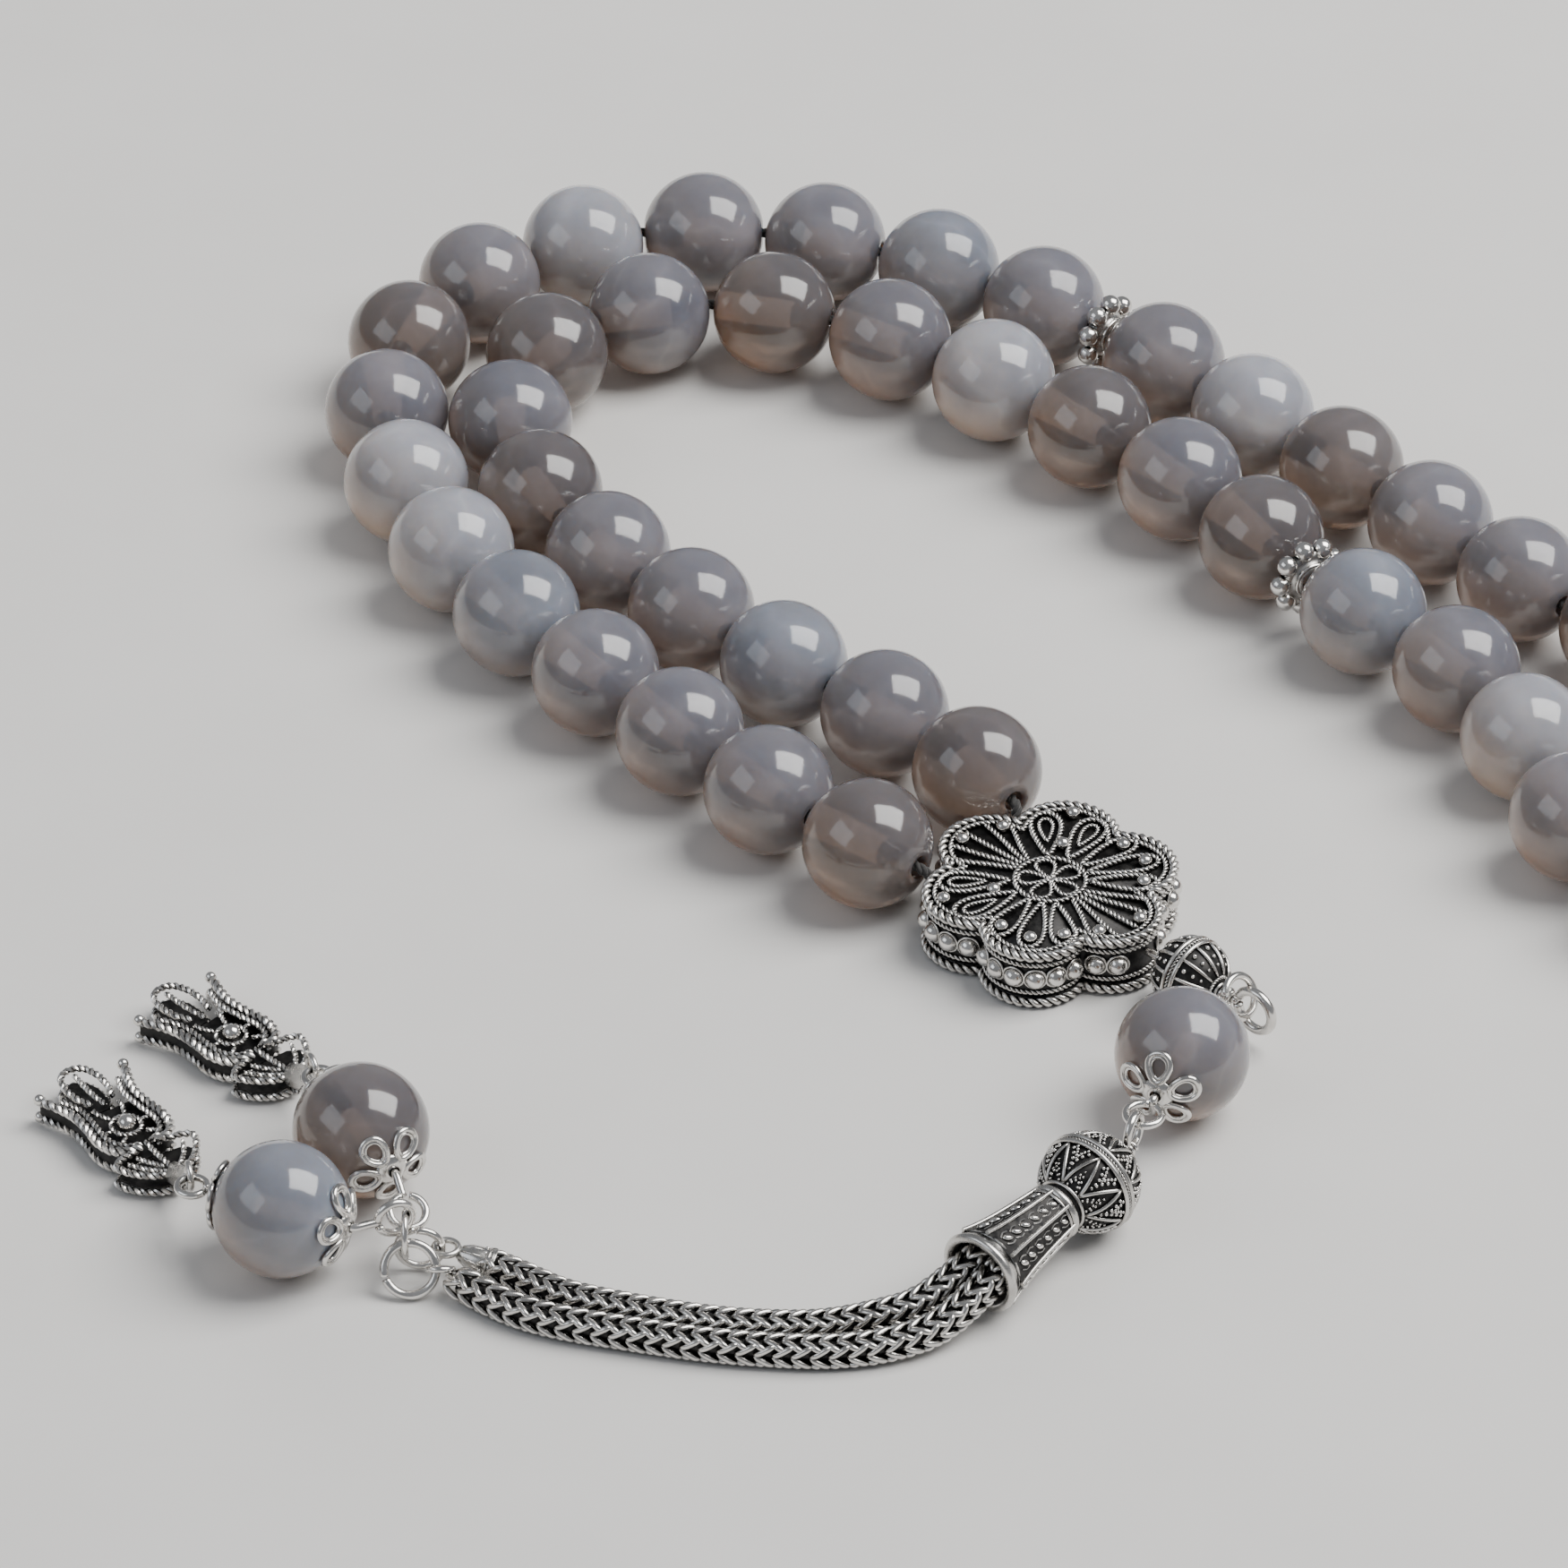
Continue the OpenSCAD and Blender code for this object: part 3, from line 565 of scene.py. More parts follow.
def make(name, shape, mats, body, *nodes, attrs=None, sharp=None):
    me = bpy.data.meshes.new(name)
    v = np.vstack(shape.v) * MM
    me.from_pydata(v.tolist(), [], shape.f)
    me.validate()
    bm = bmesh.new()
    bm.from_mesh(me)
    bmesh.ops.recalc_face_normals(bm, faces=bm.faces)
    bm.to_mesh(me)
    bm.free()
    for m in mats:
        me.materials.append(m)
    me.polygons.foreach_set("material_index", shape.m)
    me.polygons.foreach_set("use_smooth", [True] * len(me.polygons))
    for k, vals in (attrs or {}).items():
        me.attributes.new(k, "FLOAT", "POINT").data.foreach_set("value", vals)
    if sharp:
        me.set_sharp_from_angle(angle=math.radians(sharp))
    ob = bpy.data.objects.new(name, me)
    scene.collection.objects.link(ob)
    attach(ob, body)
    if nodes:
        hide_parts(*nodes)


def arc(c, n, r, start, end, count=24):
    """Points on a circle round c in the plane across n, from start to end degrees."""
    u, v, _ = basis(n)
    a = np.radians(np.linspace(start, end, count))
    return np.asarray(c, float) + r * (np.cos(a)[:, None] * u + np.sin(a)[:, None] * v)


# ---------------------------------------------------------------- stringing cord
def build_cord():
    pts = [START_IN, START_WALL] + [k + Z_BEAD for k in KNOTS] + [END_WALL, END_IN]
    rounded = [pts[0]]
    for a, b, c in zip(pts, pts[1:], pts[2:]):
        rounded += [b + 0.45 * unit(a - b), b + 0.12 * unit(a - b) + 0.12 * unit(c - b),
                    b + 0.45 * unit(c - b)]
    rounded.append(pts[-1])
    s = Shape()
    s.rope(rounded, 0.68, 1.3, per=8, strands=3, sides=6)
    make("stringing_cord", s, [thread], ROOT, "cord")


# ---------------------------------------------------------------- agate beads
STONE_R = 3.995
STRAND_BORE, PIN_BORE = 0.6, 0.36  # radii of the holes for the cord and for a pin


def bead_shape(c, axis, r, bore, seed):
    rng = np.random.default_rng(seed)
    lip = bore + 0.22
    hl = math.sqrt(r * r - lip * lip)
    inner = [(bore, h) for h in np.linspace(hl - 0.25, -(hl - 0.25), 9)]
    a0 = math.asin(lip / r)
    outer = [(r * math.sin(a), -r * math.cos(a)) for a in np.linspace(a0, math.pi - a0, 30)]
    prof = [(bore + 0.06, -(hl - 0.10))] + outer + [(bore + 0.06, hl - 0.10)] + inner
    s = Shape()
    k1 = rng.uniform(0, 6.28, 2)[0]
    s.lathe(c, axis, prof, 56, closed=True, wobble=lambda a, k: 1.0 + 0.0012 * math.sin(3 * a + k1 + 0.2 * k))
    # the deep middle of the bore takes the bore material with its painted glow; the mouths keep the stone's
    # material
    deep = range((len(outer) + 3) * 56, (len(outer) + 7) * 56)
    s.m = [1 if i in deep else 0 for i in range(len(s.f))]
    p = np.vstack(s.v)
    d = (p - np.asarray(c)) / r
    # painted light: a warm glow painted on the side of the stone away from the key light, 0 on the lit side
    # and 1 opposite
    lit = np.array(KEY_WAY)
    painted_glow = 0.5 - 0.5 * d @ lit
    # agate bands: bent sheets through the stone, at a random tilt
    way = unit(rng.normal(size=3))
    off = rng.uniform(-0.4, 0.4)
    wide = rng.uniform(0.8, 1.6)
    band = []
    for q, g in zip(d, painted_glow):
        n1 = noise.noise(Vector(q * 1.6 + seed * 7.3))
        n2 = noise.noise(Vector(q * 3.7 + seed * 3.1))
        x = (float(np.dot(q, way)) + off + 0.35 * n1 + 0.10 * n2) * wide
        band.append(min(max(0.5 + 0.5 * math.sin(2.6 * x), 0), 1))
    # the painted glow, shifted a little for each bead and broken up by noise
    shift = rng.uniform(-0.06, 0.06)
    painted_glow = [min(max(g + shift + 0.10 * noise.noise(Vector(q * 1.3 + seed)), 0), 1) for q, g in zip(d, painted_glow)]
    return s, {"painted_glow": painted_glow, "band": band}


# look of each strand bead, a run of fifteen at a time: grey, milky, smoky or blue
LOOKS = "sgggbmmgsgmggbg" "gmsggsgmggsgmgb" "sgsmgsgsgsggbgs"


def strand_place(n):
    k = n - 1 + (n > BEADS_PER_RUN) + (n > 2 * BEADS_PER_RUN)
    a, b = KNOTS[k] + Z_BEAD, KNOTS[k + 1] + Z_BEAD
    return (a + b) / 2, unit(b - a)


def build_strand():
    for n in range(1, BEAD_COUNT + 1):
        c, way = strand_place(n)
        s, attrs = bead_shape(c, way, STONE_R, STRAND_BORE, n)
        grouped = 14 <= n <= 32
        body = ROOT if grouped else f"bead_{n:02d}"
        node = "beads_14_to_32" if grouped else body
        make(f"agate_{n:02d}", s, [AGATES["gmsb".index(LOOKS[n - 1])], bore_painted_glow], body, node, attrs=attrs)


def build_divider(k):
    slot = k * (BEADS_PER_RUN + 1) - 1
    a, b = KNOTS[slot] + Z_BEAD, KNOTS[slot + 1] + Z_BEAD
    c, way = (a + b) / 2, unit(b - a)
    u, v, w = basis(way)
    s = Shape()
    for i in range(9):
        t = 2 * math.pi * i / 9
        s.grain(c + 2.03 * spoke(t, u, v), 0.67, 0, way, 1.0, 14, 10)
    hub = [(0.52, -0.80), (0.95, -0.82), (1.18, -0.62), (1.25, -0.4), (1.5, -0.3), (1.9, -0.28),
           (1.9, 0.28), (1.5, 0.3), (1.25, 0.4), (1.18, 0.62), (0.95, 0.82), (0.52, 0.80)]
    s.lathe(c, way, hub, 36, 1, closed=True)
    for h in (-0.62, 0.62):
        s.tube(arc(c + h * w, w, 1.16, 0, 350, 36), 0.13, 8, True, 0)
    make(f"ball_divider_{k}", s, [grain_silver, cast_silver], f"divider_{k}", f"divider_{k}")


# ---------------------------------------------------------------- plaque
LOBES = [math.radians(EXIT_ANGLE + 60 * i) for i in range(6)]
LOBE_AT = 4.6


def flower(r, z, n=26):
    """Closed outline of the six lobes, each a circle of radius r."""
    corner = LOBE_AT * math.cos(math.radians(30)) + math.sqrt(r * r - (LOBE_AT / 2) ** 2)
    x, y = corner * math.cos(math.radians(30)) - LOBE_AT, corner * math.sin(math.radians(30))
    span = math.atan2(y, x)
    out = []
    for a in LOBES:
        for t in np.linspace(-span, span, n)[:-1]:
            out.append((LOBE_AT * math.cos(a) + r * math.cos(a + t),
                        LOBE_AT * math.sin(a) + r * math.sin(a + t), z))
    return np.array(out)


def ray(angle, r, z):
    """Point at distance r from the plaque's middle."""
    return (r * math.cos(angle), r * math.sin(angle), z)


def teardrop(angle, root, tip, width, z):
    """Closed loop that points at the middle of the plaque and is widest near the rim."""
    out = []
    for t in np.linspace(0, 2 * math.pi, 25)[:-1]:
        along = 0.5 * (1 - math.cos(t))
        across = 0.5 * width * math.sin(t) * (0.35 + 0.95 * along)
        r = root + (tip - root) * along
        x, y, _ = ray(angle, r, z)
        out.append((x - across * math.sin(angle), y + across * math.cos(angle), z))
    return out


LOBE_KINDS = ["fan", "tears", "pair", "fan", "pair", "tears"]  # round from the lobe at the round bead


def lace(s, pts, d=0.40, pitch=0.66, closed=True, per=7):
    """Twisted wire of the plaque's lace, on a smooth line through pts."""
    s.rope(curve(pts, 4 if closed else 8, closed), d, pitch, closed, 0, per=per, sides=5)


def plaque_face(s, face, way):
    """Rim ropes, a lace of loops and fans in the lobes, a rosette in the middle and a dark sheet."""
    s.rope(flower(3.08, face - way * 0.30), 0.68, 1.16, True, 0, per=10, sides=8)
    s.rope(flower(2.58, face - way * 0.22), 0.38, 0.66, True, 0, per=6, sides=5)
    z = face - way * 0.24
    for a, kind in zip(LOBES, LOBE_KINDS):
        if kind == "fan":
            for off in np.radians((-24, -12.5, 0, 12.5, 24)):
                bend = ((0.55, 2.3), (0.825, 3.8), (0.975, 5.2), (1, 6.4 + 0.5 * math.cos(4 * off)))
                lace(s, [ray(a + k * off, r, z) for k, r in bend], closed=False)
            grains = [(-19, 5.9), (6, 6.55)]
        elif kind == "tears":
            for off in np.radians((-20, 0, 20)):
                lace(s, teardrop(a + off, 2.4, 6.85 if off == 0 else 6.5, 1.55, z))
            grains = [(-20, 5.6), (0, 6.0), (20, 5.6)]
        else:
            for off in np.radians((-14.5, 14.5)):
                lace(s, teardrop(a + off, 2.5, 6.7, 2.0, z))
                lace(s, teardrop(a + off, 3.9, 6.1, 0.9, z), 0.30, 0.52, per=6)
            grains = [(0, 6.75), (0, 3.6)]
        for off, r in grains:
            s.grain(ray(a + math.radians(off), r, face - way * 0.14), 0.44, 1, (0, 0, 1), 0.9)
    lace(s, [ray(t, 2.15, z) for t in np.linspace(0, 2 * math.pi, 25)[:-1]])
    for k in range(5):
        turn = LOBES[0] + 2 * math.pi * k / 5
        lace(s, teardrop(turn, 0.15, 1.95, 1.25, z + way * 0.02), 0.32, 0.56, per=6)
    # thin dark sheet that the wires are soldered to, near-black so that it also paints shade into the
    # recesses
    out = flower(3.0, 0)
    n = len(out)
    v = [(0, 0, face - way * 0.46), (0, 0, face - way * 0.60)]
    v += [(x, y, face - way * 0.46) for x, y, _ in out] + [(x, y, face - way * 0.60) for x, y, _ in out]
    f = []
    for i in range(n):
        j = (i + 1) % n
        tri = (0, 2 + i, 2 + j)
        low = (1, 2 + n + j, 2 + n + i)
        side = (2 + i, 2 + n + i, 2 + n + j, 2 + j)
        f += [tri, low, side] if way > 0 else [tri[::-1], low[::-1], side[::-1]]
    s.add(v, f, 2)


def build_plaque():
    top, wall, bottom = Shape(), Shape(), Shape()
    plaque_face(top, PLAQUE_H, 1)
    plaque_face(bottom, 0.0, -1)
    out, inn = flower(2.95, 0), flower(2.55, 0)
    rows = [(out, 0.58), (out, 1.2), (out, 2.0), (out, 2.8), (out, 3.42), (inn, 3.42), (inn, 0.58)]
    wall.add([(x, y, z) for o, z in rows for x, y, _ in o], ring_faces(len(rows), len(out), wrap=True), 0)
    for a in LOBES:
        for t in np.radians((-62, -37, -12.5, 12.5, 37, 62)):
            if abs(a - LOBES[0]) < 0.01 and abs(t) < 0.3:
                continue  # room for the round bead on its pin
            x = LOBE_AT * math.cos(a) + 3.02 * math.cos(a + t)
            y = LOBE_AT * math.sin(a) + 3.02 * math.sin(a + t)
            wall.grain((x, y, 2.0), 0.60, 1, seg=16, rings=12)
            wall.tube(arc((x, y, 2.0), ray(a + t, 1, 0), 0.66, 0, 345, 20), 0.09, 5, True, 2)
    for z in (1.0, 3.0):
        wall.rope(flower(3.0, z), 0.36, 0.64, True, 2, per=6, sides=5)
    make("plaque_face_upper", top, [rope_silver, grain_silver, oxide], ROOT, "plaque_top")
    make("plaque_face_lower", bottom, [rope_silver, grain_silver, oxide], ROOT, "plaque_bottom")
    make("plaque_side", wall, [oxide, grain_silver, rope_silver], ROOT, "plaque_wall")


def eye_loop(c, n, r, towards, gap=24):
    """Most of a circle round c, open by gap degrees just beside the shank at towards."""
    n, d = unit(n), np.asarray(towards, float) - c
    u = unit(d - np.dot(d, n) * n)
    v = np.cross(n, u)
    a = np.radians(np.linspace(gap * 0.2, 360 - gap, 40))[:, None]
    return np.asarray(c) + r * (np.cos(a) * u + np.sin(a) * v)


def eye_shank(s, eye, n, r, bend, tip):
    """Eye, neck, bend and shank of a pin that ends at tip."""
    d = unit(bend - eye)
    n = unit(unit(n) - np.dot(unit(n), d) * d)
    s.tube(eye_loop(eye, n, r, bend, gap=20), 0.25, 12)
    way = unit(tip - bend)
    neck = eye + r * d
    s.tube(curve([neck, 0.5 * (neck + bend), bend - 0.18 * d, bend + 0.18 * way, bend + 0.8 * way,
                  bend + 3.0 * way, 0.5 * (bend + tip), tip]), 0.25, 12)


def build_plaque_pin():
    def at(x):
        """Point x mm from the plaque's middle, on the line of the pin."""
        return x * EXIT + EXIT_Z * UP

    side = unit(np.cross(EXIT, UP))
    s = Shape()
    s.tube(resample([at(5.4), at(9), at(14.2), EYE_C - 1.28 * EXIT], 0.3), 0.25, 12)
    s.grain(at(5.7), 0.6)
    s.tube(eye_loop(EYE_C, side, 1.3, EYE_C - 3 * EXIT), 0.31, 12)
    # the wire's tail wound round the shank
    s.tube([at(13.75 + 0.42 * t) + 0.40 * spoke(9 * t, side, UP) for t in np.linspace(0, 1.6, 40)], 0.17, 8)
    make("plaque_eye_pin", s, [wire_silver], ROOT, "plaque_pin")


def filigree_ball(s, c, axis, r, ribs):
    """Ribbed round bead: dark core, two bright wires round the middle, ribs and grains."""
    u, v, w = basis(axis)
    prof = [(0.36, -r * 0.96)] + [((r - 0.12) * math.sin(a), -(r - 0.12) * math.cos(a))
                                  for a in np.linspace(0.24, math.pi - 0.24, 22)] + [(0.36, r * 0.96)]
    prof += [(0.36, h) for h in np.linspace(r * 0.8, -r * 0.8, 4)]
    s.lathe(c, axis, prof, 40, 2, closed=True)
    for h in (-0.27, 0.27):
        s.tube(arc(c + h * w, w, r - 0.03, 0, 352, 48), 0.15, 8, True, 0)
    s.rope(arc(c, w, r - 0.02, 0, 352, 48), 0.26, 0.5, True, 0, per=6, sides=5)
    for sgn in (-1, 1):
        s.rope(arc(c + sgn * w * r * 0.90, w, 0.86, 0, 345, 30), 0.24, 0.42, True, 0, per=6, sides=5)
        s.tube(arc(c + sgn * w * (r * 0.97), w, 0.5, 0, 345, 24), 0.13, 8, True, 0)
        for i in range(ribs):
            t = 2 * math.pi * i / ribs
            d = spoke(t, u, v)
            path = [c + (r - 0.04) * (math.sin(a) * d + sgn * math.cos(a) * w)
                    for a in np.linspace(0.45, 1.44, 8)]
            s.tube(path, [0.05, 0.09, 0.11, 0.12, 0.12, 0.12, 0.11, 0.1], 7)
            t += math.pi / ribs
            d = spoke(t, u, v)
            for a, g in ((1.25, 0.16), (0.98, 0.13), (0.74, 0.10)):
                s.grain(c + (r - 0.06) * (math.sin(a) * d + sgn * math.cos(a) * w), g, 1, seg=8, rings=6)


def build_round_bead():
    s = Shape()
    filigree_ball(s, ROUND_C, EXIT, 2.36, 12)
    make("filigree_round_bead", s, [rope_silver, grain_silver, oxide], "round_bead", "round_bead")


# ---------------------------------------------------------------- petal caps, pins
def petal_cap(s, c, way, r=4.0, petals=5, reach=2.2, turn=0.0):
    """Open teardrop petals round a small hub, laid on a bead of radius r."""
    u, v, w = basis(way)
    for i in range(petals):
        a = 2 * math.pi * i / petals + turn
        d, e = spoke(a, u, v), spoke(a, v, -u)
        for scale, lift, thick in ((1.0, 0.18, 0.185), (0.72, 0.13, 0.12)):
            path = []
            for t in np.linspace(0, 2 * math.pi, 28, endpoint=False):
                along = 0.5 * (0.80 + reach) + scale * 0.5 * (reach - 0.80) * math.cos(t)
                across = scale * 0.84 * math.sin(t) * (0.82 + 0.18 * math.cos(t))
                rho = math.hypot(along, across)
                q = along * d + across * e
                path.append(c + q + w * math.sqrt((r + lift) ** 2 - rho ** 2))
            s.tube(path, thick, 8, True, 0)
    hub = [(0.36, r + 0.02), (1.0, r - 0.06), (1.02, r + 0.08),
           (0.85, r + 0.20), (0.62, r + 0.34), (0.36, r + 0.40)]
    s.lathe(c, way, hub, 28, 0, closed=True)


def build_pendant():
    c, w = PENDANT_C, PENDANT_DIR
    s, attrs = bead_shape(c, w, STONE_R, PIN_BORE, 61)
    make("agate_pendant", s, [AGATES[0], bore_painted_glow], "pendant_bead", "pendant_bead", attrs=attrs)
    s = Shape()
    petal_cap(s, c, w, reach=2.45, turn=0.35)
    make("pendant_petal_cap", s, [wire_silver], "pendant_bead", "pendant_cap")
    s = Shape()
    eye_shank(s, TOP_EYE_C, LINK_AXIS, 1.25, c - BEND_AT * w, LOW_EYE_C - LOW_EYE_R * w)
    s.tube(eye_loop(LOW_EYE_C, (0, 0, 1), LOW_EYE_R, c, gap=20), EYE_WIRE_R, 12)
    make("pendant_eye_pin", s, [wire_silver], "pendant", "pendant_pin")


# ---------------------------------------------------------------- imame
def build_imame():
    c, w = IMAME_C, IMAME_DIR
    u, v, _ = basis(w)
    r = 2.98
    s = Shape()
    prof = [(0.37, -3.08), (0.72, -3.08), (0.82, -2.95)]
    prof += [((r - 0.16) * math.sin(a), -(r - 0.16) * math.cos(a))
             for a in np.linspace(0.30, math.pi - 0.5, 26)]
    prof += [(1.42, 2.46), (1.44, 2.62), (1.3, 2.78), (0.37, 2.78)] + [(0.37, h) for h in (2.0, 0, -2.0)]
    s.lathe(c, w, prof, 48, 2, closed=True)
    for h in (-0.24, 0.24):
        s.tube(arc(c + h * w, w, r - 0.01, 0, 353, 60), 0.15, 8, True, 0)
    s.rope(arc(c, w, r - 0.02, 0, 353, 60), 0.24, 0.44, True, 0, per=6, sides=5)
    s.tube(arc(c - 2.86 * w, w, 0.86, 0, 345, 28), 0.15, 8, True, 0)
    s.tube(arc(c + 2.50 * w, w, 1.52, 0, 350, 36), 0.13, 8, True, 0)

    def on(a, t, sgn, lift=0.0):
        """Point on the ball at angle a from the pole on side sgn."""
        return c + (r - 0.07 + lift) * (math.sin(a) * spoke(t, u, v) + sgn * math.cos(a) * w)

    count = 8
    for sgn, pole in ((1, 0.58), (-1, 0.42)):
        for i in range(count):
            t0 = 2 * math.pi * i / count
            half = math.pi / count
            for side in (-1, 1):
                path = [on(pole + (1.44 - pole) * k, t0 + side * half * k, sgn) for k in np.linspace(0, 1, 9)]
                s.tube(path, [0.09, 0.11] + [0.12] * 5 + [0.11, 0.09], 7, False, 0)
            # stacked rows of grains in V shapes, point towards the pole
            for apex, open_to, g in ((0.90, 1.34, 0.115), (1.14, 1.40, 0.105)):
                for side in (-1, 1):
                    for k in np.linspace(0, 1, 5):
                        a = apex + (open_to - apex) * k
                        room = half * ((a - pole) / (1.44 - pole)) - 0.11
                        t = t0 + side * k * max(room, 0.02) * (0.80 if apex < 1 else 0.5)
                        s.grain(on(a, t, sgn, 0.02), g, 1, seg=8, rings=6)
            # and one pair in the panel between, point towards the middle band
            tm = t0 + half
            for base, top in ((1.02, 0.72), (0.86, 0.62)):
                for side in (-1, 1):
                    for k in np.linspace(0, 1, 4):
                        a = base + (top - base) * k
                        room = half * (1 - (a - pole) / (1.44 - pole))
                        s.grain(on(a, tm + side * k * room * 0.55, sgn, 0.02), 0.085, 1, seg=8, rings=6)
    make("imame_filigree_ball", s, [cast_silver, grain_silver, oxide], "imame_ball", "imame_ball")

    s = Shape()
    # eight-sided flaring wall with a raised ridge on each edge
    start, end = 3.3, 9.3

    def flare(x):
        return 1.62 + 0.62 * x + 0.28 * x ** 4

    rows = [(start + (end - start) * x, flare(x)) for x in np.linspace(0, 1, 19)]
    seg = 64
    pts = []
    for h, rr in rows:
        for j in range(seg):
            a = 2 * math.pi * j / seg
            loc = (a % (math.pi / 4)) - math.pi / 8
            q = rr * math.cos(math.pi / 8) / math.cos(loc)
            pts.append(c + h * w + q * spoke(a, u, v))
    s.add(pts, ring_faces(len(rows), seg), 2)
    inner = [(0.9, 4.5), (1.5, 6.2), (1.82, 7.1), (1.9, 8.2), (2.06, 10.1), (2.16, 10.22), (2.34, 10.24),
             (2.52, 10.16), (2.6, 10.0), (2.56, 9.82), (2.42, 9.62), (2.30, 9.3), (2.36, 9.22), (2.30, 9.1),
             (2.0, 9.1)]
    s.lathe(c, w, inner, 56, 0)
    s.lathe(c, w, [(0.37, 3.04), (1.4, 3.04), (1.72, 3.08), (1.80, 3.22), (1.78, 3.40), (1.62, 3.56),
                   (1.2, 3.6), (0.37, 3.6)], 48, 0, closed=True)
    s.tube(arc(c + 3.70 * w, w, 1.64, 0, 352, 40), 0.10, 8, True, 0)
    for k in range(8):
        a = 2 * math.pi * k / 8
        d = spoke(a, u, v)
        s.tube([c + h * w + (rr + 0.02) * d for h, rr in rows], 0.135, 8, False, 0)
        am = a + math.pi / 8
        d, e = spoke(am, u, v), spoke(am, v, -u)
        for j in range(6):
            x = (j + 0.5) / 6
            h = start + (end - start) * (0.06 + 0.88 * x)
            rr = flare(x) * math.cos(math.pi / 8)
            spread = 0.16 + 0.10 * x
            lean = unit(w + 0.75 * e)
            at = c + h * w + (rr + 0.03) * d
            s.grain(at, 0.145 + 0.03 * x, 1, lean, 1.9, 10, 8)
            for side in (-1, 1):
                s.tube(curve([at + side * (spread + 0.10) * e - 0.30 * w, at + side * (spread + 0.17) * e,
                              at + side * (spread + 0.02) * e + 0.34 * w], 4), 0.05, 6, False, 0)
    make("imame_filigree_bell", s, [cast_silver, grain_silver, oxide], "imame_bell", "imame_bell", sharp=50)

    s = Shape()
    eye_shank(s, IMAME_EYE_C, np.cross(IMAME_PULL, UP), 1.05, IMAME_BEND, c + 7 * w)
    turn = [c + (0.42 * t - 3.95) * w + 0.36 * spoke(8 * t, u, v) for t in np.linspace(0, 1.5, 34)]
    s.tube(turn, 0.14, 8)
    s.lathe(c, w, [(0.2, 6.9), (1.5, 6.9), (1.52, 7.0), (1.5, 7.5), (0.2, 7.5)], 32, 0, closed=True)
    make("imame_wire_and_stop", s, [wire_silver], "imame", "imame_wire")


# ---------------------------------------------------------------- foxtail chains
LINK = 1.03


LINK_WIRE = [0.12, 0.15, 0.17, 0.185, 0.195, 0.20, 0.20, 0.20, 0.195, 0.185, 0.17, 0.15, 0.11]


def foxtail(name, route, node):
    line = resample(curve(route, 12), LINK)
    t = frame_along(line)[0]
    # keep one pair of faces level
    up = np.array([0, 0, 1.0])
    side = np.cross(up[None], t)
    side /= np.linalg.norm(side, axis=1)[:, None]
    nrm = np.cross(t, side)
    s = Shape()
    s.tube(line, 0.52, 8, False, 1)
    count = len(line)
    for i in range(count):
        for k in range(4):
            n = (nrm[i], side[i], -nrm[i], -side[i])[k]
            e = (side[i], -nrm[i], -side[i], nrm[i])[k]
            for sgn in (-1, 1):
                o = line[i] + (0.25 if k % 2 else -0.25) * LINK * t[i]
                pts = [o + 0.50 * t[i] + 0.52 * n + sgn * 0.02 * e,
                       o + 0.28 * t[i] + 0.66 * n + sgn * 0.16 * e,
                       o - 0.10 * t[i] + 0.67 * n + sgn * 0.40 * e,
                       o - 0.46 * t[i] + 0.60 * n + sgn * 0.62 * e,
                       o - 0.72 * t[i] + 0.42 * n + sgn * 0.64 * e]
                s.tube(curve(pts, 3), LINK_WIRE, 7, False, 0)
    make(name, s, [chain_silver, oxide], "imame", node)


def build_chains():
    foxtail("foxtail_front", FRONT_ROUTE, "chain_front")
    foxtail("foxtail_back", BACK_ROUTE, "chain_back")
    # front chain's last link, closed on the front ring
    s = Shape()
    last, n = FRONT_ROUTE[-1], FRONT_RING_UP
    s.tube(arc(END_LINK_C, n, 0.72, 0, 352, 28), 0.2, 10, True)
    way = unit(last - END_LINK_C)
    for sgn in (-1, 1):
        o = sgn * unit(np.cross(way, n))
        s.tube(curve([last + 0.3 * way + 0.45 * o, last - 0.1 * way + 0.42 * o,
                      END_LINK_C + 0.85 * way + 0.14 * o, END_LINK_C + 0.55 * way], 5), 0.2, 8)
    make("chain_end_link", s, [wire_silver], "imame", "chain_front_link")
    # back chain's small embossed cap with its eye
    s = Shape()
    last = BACK_ROUTE[-1]
    way = unit(END_EYE_C - last)
    length = float(np.linalg.norm(END_EYE_C - last)) - 0.7
    u, v, w = basis(way)
    prof = [(0.2, -0.35), (0.88, -0.35), (0.96, -0.25), (0.94, -0.1), (0.86, 0.0), (0.86, 0.3),
            (0.70, length * 0.6), (0.46, length * 0.85), (0.36, length), (0.1, length + 0.05)]
    s.lathe(last, way, prof, 32, 0, closed=True)
    s.tube(arc(last - 0.28 * w, w, 0.92, 0, 350, 28), 0.09, 8, True, 0)
    s.tube(arc(last + 0.05 * w, w, 0.90, 0, 350, 28), 0.08, 8, True, 0)
    for i in range(9):
        a = 2 * math.pi * i / 9
        d = spoke(a, u, v)
        s.grain(last + 0.30 * w + 0.82 * d, 0.14, 1, seg=8, rings=6)
        a += math.pi / 9
        d = spoke(a, u, v)
        s.tube([last + h * w + q * d for h, q in ((0.45, 0.78), (length * 0.62, 0.66), (length * 0.9, 0.42))],
               0.07, 6)
    s.tube(arc(END_EYE_C, (0, 0, 1), 0.7, 0, 352, 28), 0.2, 10, True)
    make("chain_end_cap", s, [cast_silver, grain_silver], "imame", "chain_back_cap")


